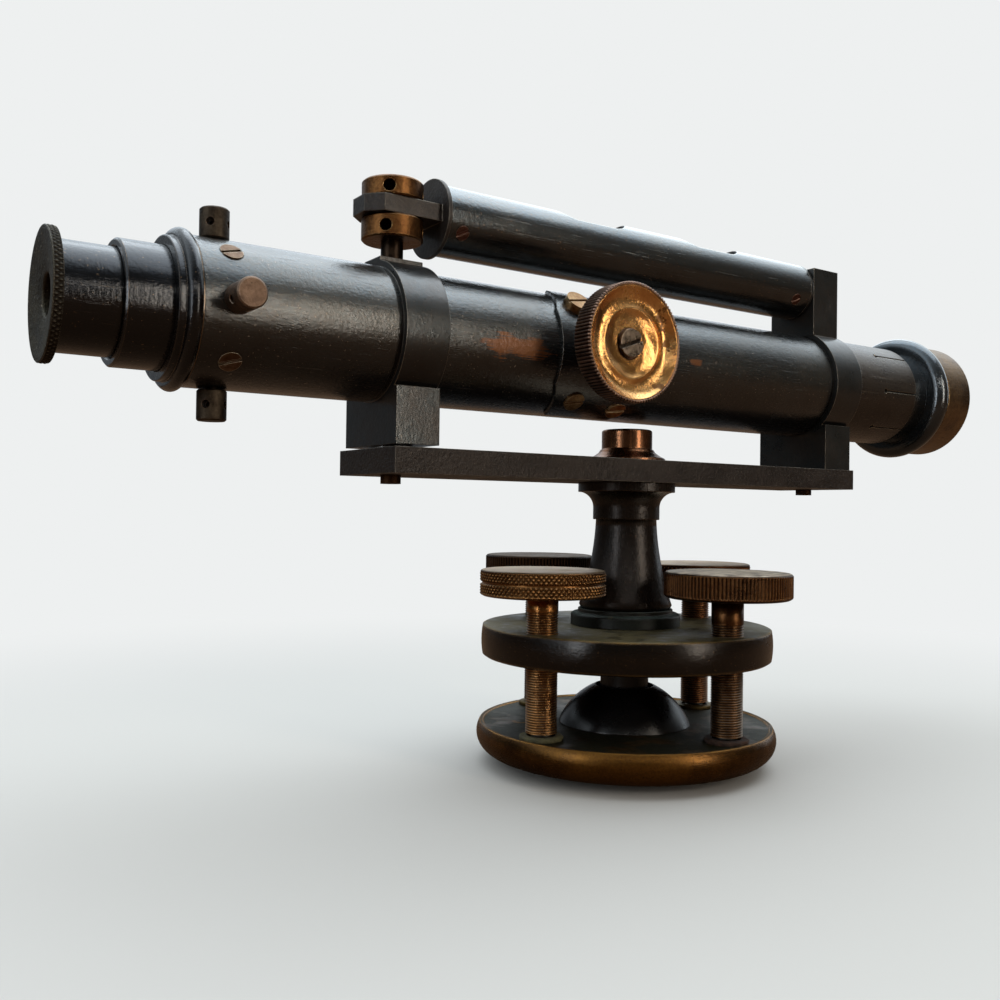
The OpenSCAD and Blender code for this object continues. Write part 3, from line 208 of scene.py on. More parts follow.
def aged(name, tones, worn, rough, metal=0.0, worn_metal=1.0, blotch=60.0, edge=0.6, edge_width=0.5,
         grain=(60, 60, 60), grain_share=0.5, relief=0.25, turned_about=None, ring_share=0.0, underside_shade=None,
         dust=None, dust_share=0.9, patches=(), patch_tone="84532f", pits=0.0, grooves=(), sunk=None,
         seed=0.0, coat=0.0):
    """An old finish. Two tones run into each other in soft blotches. The worn tone shows where an edge
    sticks out, which is where one less the dot product of the bevelled normal and the true one is
    large, along marks stretched by the grain, and in pits. Patches round given points show the patch
    tone, dust lies where the normal points up, and painted shade with dirt darkens the colour where the
    radius about the turning axis is that of a groove's floor, or below the sunk place along it. Faces
    that point down take a dark brown painted shade and reflection. Roughness and relief follow the same
    marks."""
    material = bpy.data.materials.new(name)
    material.use_nodes = True
    tree = material.node_tree
    shader = tree.nodes["Principled BSDF"]
    place = put(tree, "TexCoord").outputs["Object"]
    speck_scale, crinkle_scale, ring_scale, smear_times = 1300.0, 900.0, 1700.0, 4.3
    moved = vector(tree, "ADD", place, (seed, seed * 0.7, seed * 1.3))
    clouds = noise(tree, moved, blotch, 7.0, 0.62)
    speck = noise(tree, moved, speck_scale, 3.0)
    smear = noise(tree, moved, blotch * smear_times, 6.0)
    stretched = put(tree, "Mapping", {"Vector": moved, "Scale": grain,
                                      "Rotation": (0.12, 0.35, 0.21)}).outputs[0]
    marks = noise(tree, stretched, 1.0, 5.0, 0.7)
    crinkle = noise(tree, moved, crinkle_scale, 5.0, 0.65)
    height = calc(tree, "ADD", calc(tree, "MULTIPLY", speck, 0.6), calc(tree, "MULTIPLY", smear, 1.4))
    height = calc(tree, "ADD", height, calc(tree, "MULTIPLY", crinkle, 1.8))
    height = calc(tree, "SUBTRACT", height, calc(tree, "MULTIPLY", spread(tree, marks, 0.62, 0.72), 0.5))
    true_way = put(tree, "NewGeometry")
    recess_shade_and_dirt = None
    if turned_about:
        centre, along = turned_about
        arm = vector(tree, "SUBTRACT", place, centre)
        travel = vector(tree, "DOT_PRODUCT", arm, along)
        on_axis = put(tree, "VectorMath", {0: along, 3: travel}, operation="SCALE").outputs[0]
        radius = length(tree, vector(tree, "SUBTRACT", arm, on_axis))
        both = put(tree, "CombineXYZ", {0: radius, 1: travel, 2: seed}).outputs[0]
        rings = noise(tree, both, ring_scale, 4.0)
        height = calc(tree, "ADD", height, calc(tree, "MULTIPLY", rings, ring_share))
        flat = vector(tree, "DOT_PRODUCT", true_way.outputs["True Normal"], along)
        sideways = spread(tree, calc(tree, "ABSOLUTE", flat), 0.93, 0.8)
        # Painted shade and dirt: the floor of each groove is darkened on faces that do not face along the
        # axis.
        for full, deep in grooves:
            low = spread(tree, radius, (full - 0.15 * deep) * MM, (full - 0.8 * deep) * MM)
            near = spread(tree, radius, (full - 1.7 * deep) * MM, (full - 1.3 * deep) * MM)
            low = calc(tree, "MULTIPLY", calc(tree, "MULTIPLY", low, near), sideways)
            recess_shade_and_dirt = calc(tree, "MAXIMUM", recess_shade_and_dirt, low) if recess_shade_and_dirt else low
        # Painted shade and dirt: everything below the sunk place along the axis is darkened.
        if sunk:
            recess_shade_and_dirt = spread(tree, travel, (sunk + 0.05) * MM, (sunk - 0.05) * MM)
    rounded = put(tree, "Bevel", {"Radius": edge_width * MM}, samples=4).outputs[0]
    lean = calc(tree, "SUBTRACT", 1.0, vector(tree, "DOT_PRODUCT", rounded, true_way.outputs["Normal"]))
    uneven = calc(tree, "MULTIPLY", spread(tree, smear, 0.3, 0.7, 0.25, 1.0), 9.0 * edge)
    rubbed = calc(tree, "MULTIPLY", lean, uneven, clamp=True)
    scratched = calc(tree, "MULTIPLY", spread(tree, marks, 0.66, 0.74), grain_share)
    wear = calc(tree, "MAXIMUM", rubbed, scratched)
    if pits:
        spots = calc(tree, "MAXIMUM", spread(tree, speck, 0.67, 0.73), spread(tree, crinkle, 0.69, 0.72))
        wear = calc(tree, "MAXIMUM", wear, calc(tree, "MULTIPLY", spots, pits))
    bare = None
    for centre, size in patches:
        away = vector(tree, "MULTIPLY", vector(tree, "SUBTRACT", place, centre),
                      tuple(1.0 / s for s in size))
        ragged = length(tree, away)
        for ripple, strength in ((smear, 3.0), (marks, 3.5)):
            ripple = calc(tree, "MULTIPLY", calc(tree, "SUBTRACT", ripple, 0.5), strength)
            ragged = calc(tree, "ADD", ragged, ripple)
        shown = spread(tree, ragged, 0.95, 0.7)
        bare = calc(tree, "MAXIMUM", bare, shown) if bare else shown
    colour = mixed(tree, spread(tree, clouds, 0.35, 0.65), shade(tones[0]), shade(tones[1]))
    colour = mixed(tree, spread(tree, speck, 0.35, 0.7, 0.0, 0.35), colour, shade(tones[-1]))
    colour = mixed(tree, spread(tree, crinkle, 0.40, 0.28, 0.0, 0.6), colour, shade("0a0806"))
    facing = put(tree, "SeparateXYZ", {0: true_way.outputs["Normal"]}).outputs[2]
    # Painted shade and painted reflection: faces that point down run into a dark brown tone.
    if underside_shade:
        share = calc(tree, "MULTIPLY", spread(tree, facing, 0.25, -0.6),
                     spread(tree, clouds, 0.2, 0.8, 0.55, 1.0))
        colour = mixed(tree, share, colour, shade(underside_shade))
    shine = spread(tree, clouds, 0.25, 0.75, rough[0], rough[1])
    shine = calc(tree, "ADD", shine, spread(tree, marks, 0.4, 0.8, -0.04, 0.10))
    if dust:
        settled = spread(tree, smear, 0.3, 0.65, dust_share * 0.35, dust_share)
        settled = calc(tree, "MULTIPLY", spread(tree, facing, 0.5, 0.95), settled, clamp=True)
        colour = mixed(tree, settled, colour, shade(dust))
        shine = calc(tree, "ADD", shine, calc(tree, "MULTIPLY", settled, 0.35))
    colour = mixed(tree, wear, colour, shade(worn))
    if bare:
        colour = mixed(tree, calc(tree, "MULTIPLY", bare, 0.85), colour, shade(patch_tone))
        shine = calc(tree, "ADD", shine, calc(tree, "MULTIPLY", bare, 0.2))
    # Painted shade and dirt darken the recesses towards a near-black brown.
    if recess_shade_and_dirt:
        colour = mixed(tree, calc(tree, "MULTIPLY", recess_shade_and_dirt, 0.8), colour, shade("140c07"))
    shine = calc(tree, "ADD", shine, calc(tree, "MULTIPLY", wear, 0.08), clamp=True)
    height = calc(tree, "SUBTRACT", height, calc(tree, "MULTIPLY", wear, 0.5))
    tree.links.new(colour, shader.inputs["Base Color"])
    tree.links.new(shine, shader.inputs["Roughness"])
    if metal == worn_metal:
        shader.inputs["Metallic"].default_value = metal
    else:
        tree.links.new(spread(tree, wear, 0.0, 1.0, metal, worn_metal), shader.inputs["Metallic"])
    if coat:
        shader.inputs["Coat Weight"].default_value = coat
        shader.inputs["Coat Roughness"].default_value = 0.04
    bump = put(tree, "Bump", {"Strength": relief, "Distance": 0.00016, "Height": height, "Normal": rounded})
    tree.links.new(bump.outputs[0], shader.inputs["Normal"])
    tree.links.new(bump.outputs[0], shader.inputs["Coat Normal"])
    return material


def softened(corners, radius=0.3):
    """Rounds an outline of (radius, place) points. At each corner a quadratic curve P(t) = (1-t)^2 A +
    2t(1-t) C + t^2 B runs from A to B, which lie on the two lines a given distance from the corner C. A
    third value in a row sets its own distance. A point beyond A and B keeps the flats flat."""
    rows = np.array([(*row, radius)[:3] if len(row) == 2 else row for row in corners], float)
    points, wish = rows[:, :2], rows[:, 2]
    before = np.roll(points, 1, axis=0) - points
    after = np.roll(points, -1, axis=0) - points
    long_b = np.maximum(np.linalg.norm(before, axis=1), 1e-9)
    long_a = np.maximum(np.linalg.norm(after, axis=1), 1e-9)
    cut = np.minimum(wish, 0.4 * np.minimum(long_b, long_a))[:, None]
    to_b, to_a = before / long_b[:, None], after / long_a[:, None]
    t = np.linspace(0, 1, 5)[None, :, None]
    curve = ((1 - t) ** 2 * (points + to_b * cut)[:, None] + 2 * t * (1 - t) * points[:, None]
             + t ** 2 * (points + to_a * cut)[:, None])
    pre, post = (points + to_b * cut * 1.25)[:, None], (points + to_a * cut * 1.25)[:, None]
    line = np.concatenate([pre, curve, post], axis=1).reshape(-1, 2)
    if abs(points[0, 0]) < 1e-6 and abs(points[-1, 0]) < 1e-6:
        line = np.vstack([points[:1], line[7:-7], points[-1:]])
    keep = np.r_[True, np.linalg.norm(np.diff(line, axis=0), axis=1) > 1e-4]
    return line[keep]


def arc(centre, radius, start, end, count=14):
    """Points of a circle between two angles in degrees: centre + radius (cos, sin). They need no
    rounding."""
    turns = np.radians(np.linspace(start, end, count))
    return [(centre[0] + radius * np.cos(a), centre[1] + radius * np.sin(a), 0.0) for a in turns]


WAYS = {"z": ((1, 0, 0), (0, 1, 0), (0, 0, 1)), "x": ((0, 1, 0), (0, 0, 1), (1, 0, 0)),
        "near": ((1, 0, 0), (0, 0, 1), (0, -1, 0))}


def turned(outline, origin=(0, 0, 0), along="z", sides=128, shift=None):
    """Turns an outline of (radius r, place t) about an axis: the point at angle a is origin + t w + r
    (u cos a + v sin a). A shift function changes r by angle and place first."""
    u, v, w = np.array(WAYS[along], float)
    angle = np.linspace(0, 2 * np.pi, sides, endpoint=False)[:, None]
    r, t = np.broadcast_to(outline[None, :, 0], (sides, len(outline))), outline[None, :, 1] + 0 * angle
    if shift:
        r = r + shift(angle, r, t)
    return (np.array(origin, float) + t[..., None] * w + (r * np.cos(angle))[..., None] * u
            + (r * np.sin(angle))[..., None] * v) * MM


def skinned(name, *grids, closed=False):
    """Joins grids of points into one smooth mesh. Point (i, j) makes a face with (i+1, j), (i+1, j+1)
    and (i, j+1). Each grid closes round its first direction, and round its second too when closed is
    set; points that coincide, as at a pole, are merged."""
    corner_list, face_list, start = [], [], 0
    for grid in grids:
        m, n = grid.shape[:2]
        i, j = np.meshgrid(np.arange(m), np.arange(n if closed else n - 1), indexing="ij")
        i2, j2 = (i + 1) % m, (j + 1) % n
        quads = np.stack([i * n + j, i2 * n + j, i2 * n + j2, i * n + j2], axis=-1).reshape(-1, 4)
        corner_list.append(grid.reshape(-1, 3))
        face_list.append(quads + start)
        start += m * n
    corners, faces = np.vstack(corner_list), np.vstack(face_list)
    mesh = bpy.data.meshes.new(name)
    mesh.vertices.add(len(corners))
    mesh.vertices.foreach_set("co", corners.ravel().astype(np.float32))
    mesh.loops.add(faces.size)
    mesh.loops.foreach_set("vertex_index", faces.ravel().astype(np.int32))
    mesh.polygons.add(len(faces))
    mesh.polygons.foreach_set("loop_start", (np.arange(len(faces)) * 4).astype(np.int32))
    mesh.polygons.foreach_set("loop_total", np.full(len(faces), 4, np.int32))
    mesh.update(calc_edges=True)
    work = bmesh.new()
    work.from_mesh(mesh)
    bmesh.ops.remove_doubles(work, verts=work.verts, dist=2e-7)
    work.to_mesh(mesh)
    work.free()
    mesh.shade_smooth()
    piece = bpy.data.objects.new(name, mesh)
    bpy.context.scene.collection.objects.link(piece)
    return piece


def fitted(piece, finish, body, slot, *replaced):
    """Gives a piece its finish and its body, and lets it stand for CAD nodes, which it hides. The slot is
    not used.
    """
    piece.data.materials.append(finish)
    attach(piece, body)
    if replaced:
        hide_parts(*replaced)


Z_AXIS = ((0, 0, 0), (0, 0, 1))
foot_finish = aged("foot_bronze", ("38230f", "76501f", "2a1a0c"), "b88440", (0.22, 0.38), metal=0.85,
                   blotch=24, edge=0.8, edge_width=0.9, grain=(60, 60, 900), grain_share=0.3,
                   turned_about=Z_AXIS, ring_share=0.4, dust="2a281a", dust_share=1.4, pits=0.4, seed=0.3)
foot_outline = softened([(25, 0, 0.3), (29, 0, 0.3), (29, 3, 0.3), (42, 3, 0)]
                        + arc((43.8, 10), 7, -90, 31.5, 22)
                        + [(49.742, 13.7, 0.25), (48.742, 13.7, 0.3), (48.5, 13.2, 0.3), (19.05, 13.2, 0.1),
                           (19.05, 8, 0.1), (25, 8, 0.1)])
foot = skinned("foot_plate_turned", turned(foot_outline, sides=192), closed=True)
fitted(foot, foot_finish, "foot", "foot_bronze", "foot_plate")

# ---------------------------------------------------------------------------------------
# Dome and ball joint: a spun dome, lacquered black, holds the half ball of the stem.
# The cup and the keeper inside it are brass.
# ---------------------------------------------------------------------------------------
dome_finish = aged("dome_lacquer", ("0c0c0d", "141415", "1c1510"), "5b4426", (0.20, 0.34), metal=0.3,
                   blotch=50, edge=0.4, grain=(40, 40, 40), grain_share=0.2, relief=0.15, seed=1.1)
dome_outline = softened([(19, 8.3), (22.5, 13.2, 0.3)] + arc((0, 3.825), 24.375, 24.2, 65.5, 24)
                        + [(10, 26.0, 0.3), (10, 22.6, 0.3)] + arc((0, 12), 14.5, 46, 1, 12)
                        + [(14.8, 11.9, 0.1), (14.8, 9.8, 0.1), (17.05, 9.8, 0.1), (17.05, 8.3, 0.1)])
fitted(skinned("dome_turned", turned(dome_outline), closed=True), dome_finish, "foot", "black_lacquer",
       "ball_dome")
stem_outline = softened([(0, 11.5), (13.1, 11.5, 0.3)] + arc((0, 12), 13.2, 2, 50, 12)
                        + [(8.2, 22.5, 0.6), (8.2, 35.0, 0.3), (8.2, 36.1, 0.3), (6.95, 36.1, 0.1),
                           (6.95, 41.3), (0, 41.3)])
stem_finish = aged("stem_lacquer", ("0c0806", "140e0a", "1e140c"), "4a3420", (0.35, 0.5), blotch=80,
                   edge=0.4, turned_about=Z_AXIS, ring_share=0.6, relief=0.2, seed=1.5)
fitted(skinned("stem_turned", turned(stem_outline)), stem_finish, "head", "black_lacquer", "ball_stem")

# ---------------------------------------------------------------------------------------
# Shoes: four loose discs under the screws' points. The near left one is green with
# verdigris and the near right one is crusted with rust; the two others are dull brass.
# ---------------------------------------------------------------------------------------
screw_circle, first_screw = 41.3, 9.6
screw_angles = np.radians(first_screw + 90 * np.arange(4))
screw_places = np.stack([screw_circle * np.cos(screw_angles), screw_circle * np.sin(screw_angles)], axis=1)
verdigris = aged("verdigris", ("4a4630", "625c3c", "2e2c1c"), "6a7450", (0.75, 0.95), blotch=300, edge=0.1,
                 grain=(500, 500, 500), grain_share=0.5, relief=1.0, seed=2.0)
rust = aged("rust_crust", ("2a1a10", "40281a", "160e0a"), "7a4c30", (0.8, 1.0), blotch=350, edge=0.1,
            grain=(600, 600, 600), grain_share=0.6, relief=1.0, seed=2.6)
dull_shoe = aged("dull_shoe", ("4a4230", "5d4c2c"), "8a7040", (0.5, 0.7), metal=1.0, blotch=200, edge=0.3,
                 seed=2.9)


def crumbly(amount, wave=11.0, inner=4.6):
    """Waves in the radius r outside the dish, for a crusted edge at angle a and height t: amount
    (sin(wave a + 2 t) + 0.6 sin(2.3 wave a + 1.7) cos(3 t))."""
    def grow(a, r, t):
        ripple = np.sin(wave * a + 2 * t) + 0.6 * np.sin(2.3 * wave * a + 1.7) * np.cos(3 * t)
        return amount * (r > inner) * ripple
    return grow


shoe_outline = softened([(0, 13.2), (6.9, 13.2, 0.2), (7.0, 14.3, 0.4), (6.3, 14.6, 0.3), (4.4, 14.6, 0.2),
                         (4.4, 13.8, 0.1), (0, 13.8)])
for k, (crust, waves) in enumerate([(dull_shoe, 0.0), (dull_shoe, 0.0), (verdigris, 0.1), (rust, 0.1)]):
    crusty = turned(shoe_outline, (*screw_places[k], 0), sides=96, shift=crumbly(waves))
    fitted(skinned(f"shoe_{k + 1}", crusty), crust, "foot", "old_brass",
           *(["screw_shoes"] if k == 0 else []))

# ---------------------------------------------------------------------------------------
# Upper plate: the bronze plate that the four levelling screws pass through. Its paint
# has gone dusty olive on top and brown-black at the side. A stepped collar stands on it.
# ---------------------------------------------------------------------------------------


def finished(finish, *names):
    """Gives CAD nodes a finish, in the material slots that they came with."""
    for name in names:
        for slot in nodes[name].material_slots:
            slot.material = finish


finished(aged("plate_paint", ("0e0a07", "180f09", "24180e"), "a07c46", (0.16, 0.28), metal=0.3, blotch=50,
              edge=0.6, edge_width=1.1, grain=(50, 50, 300), grain_share=0.08, turned_about=Z_AXIS,
              ring_share=0.5, dust="5c5234", dust_share=1.3, pits=0.15, seed=3.0), "upper_plate")
collar_outline = softened([(9.25, 46.6, 0.1), (18.7, 46.6, 0.2), (18.7, 50.3, 0.5), (17.9, 50.9, 0.4),
                           (16.2, 50.9, 0.3), (16.2, 52.3, 0.3), (9.25, 52.3, 0.1)])
collar_finish = aged("collar_paint", ("100f0d", "191c18", "26302a"), "6a5a3c", (0.30, 0.5), metal=0.3,
                     blotch=90, edge=0.5, turned_about=Z_AXIS, ring_share=0.5, dust="26342a", seed=3.7)
fitted(skinned("base_collar_turned", turned(collar_outline), closed=True), collar_finish, "head",
       "black_lacquer", "base_collar")

# ---------------------------------------------------------------------------------------
# Levelling screws: bronze, with a knurled head and a fine thread of 0.8 mm below a plain
# neck. Two heads have a crossed knurl in two bands, and two a straight one. A steel point
# is set in the end of each. The spindle and the pinion are of the same steel.
# ---------------------------------------------------------------------------------------


def tooth(x):
    """A wave of straight flanks between 0 and 1 with a period of 1. It is 1 - |2 f - 1|, f being the
    fraction of x."""
    return 1 - np.abs(2 * (x - np.floor(x)) - 1)


def crossed(base, height, count, inner=19.2, margin=0.7, depth=0.55, groove=0.75):
    """Two slanting sets of grooves cross and leave small pyramids; a plain groove may run round the
    middle. At s above the base, the cut is depth times one less the smaller of tooth(n + s / lead) and
    tooth(n - s / lead), where n is the count of teeth up to that angle."""
    lead = 1.75

    def cut(a, r, t):
        s = t - base
        turns = count * a / (2 * np.pi)
        grooves = 1 - np.minimum(tooth(turns + s / lead), tooth(turns - s / lead))
        fade = margin * 0.43
        rise, fall = np.clip((s - margin) / fade, 0, 1), np.clip((height - margin + 0.2 - s) / fade, 0, 1)
        band = (r > inner) * rise * fall
        middle = np.clip(1 - np.abs(s - height / 2) / 0.4, 0, 1) * (groove > 0)
        return -band * np.maximum(depth * grooves * (middle < 0.05), groove * (middle >= 0.05))
    return cut


def straight(base, height, count, low=0.9, high=0.7, depth=0.5, inner=19.2):
    """Grooves along the axis. The cut is depth times one less 1.5 tooth(n), or nothing where that is
    below nought. Here n is the count of teeth up to that angle, and the cut fades out near both
    ends."""
    def cut(a, r, t):
        s = t - base
        band = (r > inner) * np.clip((s - low) / 0.3, 0, 1) * np.clip((height - high - s) / 0.3, 0, 1)
        return -band * depth * (1 - np.minimum(1, 1.5 * tooth(count * a / (2 * np.pi))))
    return cut


def thread(origin, radius, z0, z1, top, pitch=0.8, depth=0.42):
    """A screw's shank. Between z0 and z1 the radius falls by depth times a wave of (z / pitch - a / one
    turn). Under it is the bore for the steel point, and above it the shank runs plain up into the
    head."""
    bore_top, bore_radius = 21.9, 3.45
    count = int((z1 - z0) / pitch * 8)
    z = np.r_[bore_top, bore_top, z0, np.linspace(z0, z1, count), top, top]
    a = np.linspace(0, 2 * np.pi, 48, endpoint=False)[:, None]
    ends = np.clip((z - z0) / 0.6, 0, 1) * np.clip((z1 - z) / 1.2, 0, 1)
    r = radius - depth * ends * (1 - np.minimum(1, 1.4 * tooth(z / pitch - a / (2 * np.pi))))
    r[:, :3] = 0.0, bore_radius, bore_radius
    r[:, -1] = 0.0
    return np.stack([origin[0] + r * np.cos(a), origin[1] + r * np.sin(a), z + 0 * a], axis=-1) * MM


screw_finishes = [
    ("coppery_screw", ("6a4228", "8a5836", "2e1c12"), "d09a68", (0.30, 0.44), "b4a48c"),
    ("brown_screw", ("2c1e16", "3e2a1c", "1c1410"), "8a6038", (0.34, 0.5), "5a4c3e"),
    ("golden_screw", ("96663a", "ba844e", "4a3018"), "f4c890", (0.22, 0.34), "b4a48c"),
    ("brown_screw_near", ("4e3420", "6a482c", "261810"), "d4a272", (0.26, 0.4), "dccdb8"),
]
head_high, head_radius, shank_radius, thread_low = 8.4, 20.0, 5.04, 15.4
for k, (name, tones, worn, rough, dust) in enumerate(screw_finishes):
    x, y = screw_places[k]
    crossed_head = k in (0, 2)
    raised = 2.4 if k == 1 else 0
    base = 58.4 + raised
    # The knurl's grooves and the thread's take painted shade and dirt.
    finish = aged(name, tones, worn, rough, metal=1.0, blotch=80, edge=1.1, edge_width=0.25,
                  grain=(80, 80, 80), grain_share=0.3, turned_about=((x * MM, y * MM, 0), (0, 0, 1)),
                  ring_share=0.6, dust=dust, grooves=[(head_radius, 0.5), (shank_radius, 0.4)], relief=0.3,
                  seed=4.0 + k)
    rim = [(head_radius, s, 0.0) for s in np.linspace(base + 0.9, base + 7.6, 34)]
    head = softened([(0, base - 0.2), (5.6, base - 0.2, 0.1), (5.6, base, 0.1), (18.8, base, 0.4),
                     (19.7, base + 0.5, 0.3)] + rim
                    + [(19.5, base + 8.2, 0.4), (18.8, base + head_high, 0.3), (0, base + head_high)])
    cut = crossed(base, head_high, 80) if crossed_head else straight(base, head_high, 104)
    sides = 800 if crossed_head else 832
    neck = base - (4.5 if crossed_head else 7.5)
    piece = skinned(f"levelling_screw_{k + 1}", turned(head, (x, y, 0), sides=sides, shift=cut),
                    thread((x, y), shank_radius, thread_low, neck, base + 0.1))
    fitted(piece, finish, f"screw_{k + 1}", "old_brass", f"level_screw_{k + 1}")
point_finish = aged("point_steel", ("4a4a4a", "6a6864"), "b0aca4", (0.3, 0.5), metal=1.0, blotch=150,
                    seed=5.0)
finished(point_finish, "level_point_1", "level_point_2", "level_point_3", "level_point_4", "spindle",
         "spindle_screw", "vial_pivot_pin", "pinion")

# ---------------------------------------------------------------------------------------
# Column: a turned bronze column lacquered brown-black, hollow for the tapered spindle,
# with a band and a flared head that carries the bar.
# ---------------------------------------------------------------------------------------
foot_of_taper, top_of_taper = (15.9, 53.6), (10.4, 82.75)
hollow = 4.4
taper = [(foot_of_taper[0] + (top_of_taper[0] - foot_of_taper[0]) * s - hollow * s * (1 - s),
          foot_of_taper[1] + (top_of_taper[1] - foot_of_taper[1]) * s, 0.0) for s in np.linspace(0, 1, 14)]
column_outline = softened([(9.25, 52.45, 0.1), (15.3, 52.45, 0.4)] + taper
                          + [(11.4, 82.75, 0.35), (11.4, 86.95, 0.35)]
                          + arc((16.7, 86.95), 5.3, 178, 96, 16)
                          + [(16.6, 92.2, 0.4), (16.6, 95.25, 0.2), (9.0, 95.25, 0.1), (9.0, 102.6, 0.2),
                             (6.9, 102.6, 0.1), (6.9, 105.8, 0.2), (5.0, 105.8, 0.1)])
column_finish = aged("column_lacquer", ("16100c", "221913", "34271e"), "7a5836", (0.26, 0.38), metal=0.5,
                     blotch=40, edge=0.6, grain=(500, 500, 25), grain_share=0.2, turned_about=Z_AXIS,
                     ring_share=0.5, relief=0.35, dust="26342c", pits=0.2, seed=6.0)
fitted(skinned("column_turned", turned(column_outline, sides=160), closed=True), column_finish, "alidade",
       "black_lacquer", "column")

# ---------------------------------------------------------------------------------------
# Bar, collars and cap nut: the flat bar is painted dark grey-brown. Two lacquered collars
# with their blocks stand on it, each held by a screw from below, and a copper-coloured nut
# covers the end of the spindle.
# ---------------------------------------------------------------------------------------
block_finish = aged("bar_paint", ("262220", "38322e", "463a32"), "9c9488", (0.36, 0.52), metal=0.5,
                    blotch=70, edge=0.5, edge_width=0.4, grain=(25, 300, 300), grain_share=0.35, relief=0.9,
                    underside_shade="1e1611", worn_metal=0.6, pits=0.35, seed=7.0)
finished(block_finish, "bar")
collar_lacquer = aged("collar_lacquer", ("3e4446", "464442", "4a4038"), "a89c8c", (0.28, 0.40), metal=0.75,
                      blotch=60, edge=0.5, edge_width=0.4, grain=(140, 140, 140), grain_share=0.1,
                      relief=0.2, underside_shade="1a130e", pits=0.15, seed=7.2, coat=0.5)
finished(collar_lacquer, "left_collar", "right_collar", "vial_tongue")
cap_outline = softened([(0, 111.5), (6.95, 111.5, 0.1), (6.95, 102.75, 0.1), (13.3, 102.75, 0.2),
                        (13.1, 103.7, 0.3), (11.4, 104.6, 0.4), (9.7, 105.8, 0.5), (9.17, 106.7, 0.2),
                        (8.67, 107.0, 0.2), (8.67, 113.1, 0.3), (8.17, 113.6, 0.3), (0, 113.6)])
cap_finish = aged("copper_nut", ("80563c", "9a6c4e", "3a2214"), "d8a67c", (0.18, 0.32), metal=1.0,
                  blotch=90, edge=0.5, grain=(700, 700, 40), grain_share=0.2, turned_about=Z_AXIS,
                  ring_share=0.8, relief=0.2, seed=7.4)
fitted(skinned("cap_nut_turned", turned(cap_outline)), cap_finish, "alidade", "brass", "cap_nut")
finished(aged("rusty_screw", ("2a1c14", "402c1e"), "806040", (0.4, 0.6), metal=1.0, blotch=200, edge=0.5,
              seed=7.8), "collar_screws")

# ---------------------------------------------------------------------------------------
# Telescope tubes: drawn brass, lacquered black. The lacquer is glossy on top, with a painted brown
# shade and reflection towards the underside, scratched all over, and rubbed to copper in two patches.
# ---------------------------------------------------------------------------------------
X_AXIS = ((0, 0, 0.1359), (1, 0, 0))
rubs = [((-0.060, -0.0196, 0.1338), (0.0115, 0.004, 0.0032)),
        ((0.0126, -0.0197, 0.1361), (0.0026, 0.003, 0.0011))]
tube_finish = aged("tube_lacquer", ("444c50", "4e504e", "58483a"), "8e8478", (0.24, 0.36), metal=0.85,
                   blotch=38, edge=0.25, edge_width=0.5, grain=(70, 1900, 1900), grain_share=0.16,
                   turned_about=X_AXIS, ring_share=0.15, relief=0.42, underside_shade="140d08", patches=rubs,
                   pits=0.7, seed=8.0, coat=0.9)
finished(tube_finish, "barrel", "eyepiece_body", "saddle")
sleeve_finish = aged("sleeve_lacquer", ("524e4c", "605850", "5a4e42"), "b8aa94", (0.24, 0.36), metal=0.8,
                     blotch=45, edge=0.8, edge_width=0.4, grain=(30, 900, 900), grain_share=0.35,
                     turned_about=X_AXIS, ring_share=0.3, relief=0.35, underside_shade="1e1610", pits=0.4, seed=8.6,
                     coat=0.2)
finished(sleeve_finish, "objective_sleeve")

# ---------------------------------------------------------------------------------------
# Eyepiece end: a stepped end ring, the sleeve that holds the sliding tube, and a worn
# disc with a knurled rim and a dished eye hole.
# ---------------------------------------------------------------------------------------
telescope_line = (0, 0, 135.9)
eye_finish = aged("eyepiece_lacquer", ("14181e", "191d24", "1e1a18"), "8a7258", (0.20, 0.32), metal=0.85,
                  blotch=60, edge=0.5, edge_width=0.4, grain=(80, 1900, 1900), grain_share=0.2,
                  turned_about=X_AXIS, ring_share=0.4, relief=0.2, underside_shade="0e0a09", pits=0.5, seed=9.0,
                  coat=0.7)
ring_outline = softened([(17.45, -150.0, 0.1), (16.15, -150.0, 0.1), (16.15, -159.9, 0.3),
                         (18.7, -159.9, 0.35), (18.7, -158.0, 0.15), (19.2, -158.0, 0.1)]
                        + arc((19.2, -156.1), 1.9, -90, 90, 14)
                        + [(19.7, -154.0, 0.1), (17.45, -154.0, 0.1)])
fitted(skinned("end_ring_turned", turned(ring_outline, telescope_line, "x", 160), closed=True), eye_finish,
       "alidade", "black_lacquer", "end_ring")
finished(eye_finish, "eyepiece_sleeve", "eyepiece_tube")
disc_rim = [(16.7, s, 0.0) for s in np.linspace(-187.6, -185.7, 12)]
disc_outline = softened([(12.5, -185.4, 0.1), (12.5, -182.0, 0.1), (11.1, -181.9, 0.1), (5.3, -184.5, 0.3),
                         (5.3, -186.4, 0.5), (8.5, -187.0, 1.2), (15.4, -187.88, 0.8), (16.4, -187.9, 0.2)]
                        + disc_rim + [(16.4, -185.4, 0.1)])
# The groove at the disc's rim takes painted shade and dirt.
disc_finish = aged("eyepiece_disc_metal", ("3c392f", "545044", "1e1b14"), "bcb29e", (0.46, 0.62), metal=0.8,
                   worn_metal=0.6, blotch=150, edge=0.8, edge_width=0.3, grain=(500, 900, 500),
                   grain_share=0.8, turned_about=X_AXIS, ring_share=0.7, relief=0.9, pits=1.0,
                   underside_shade="2c2014", grooves=[(16.7, 0.35)], seed=9.5)
disc_knurl = crossed(-187.9, 2.5, 80, inner=16.6, margin=0.25, depth=0.4, groove=0.0)
disc_grid = turned(disc_outline, telescope_line, "x", 960, disc_knurl)
fitted(skinned("eyepiece_disc_turned", disc_grid, closed=True), disc_finish, "eyepiece", "steel",
       "eyepiece_cap")

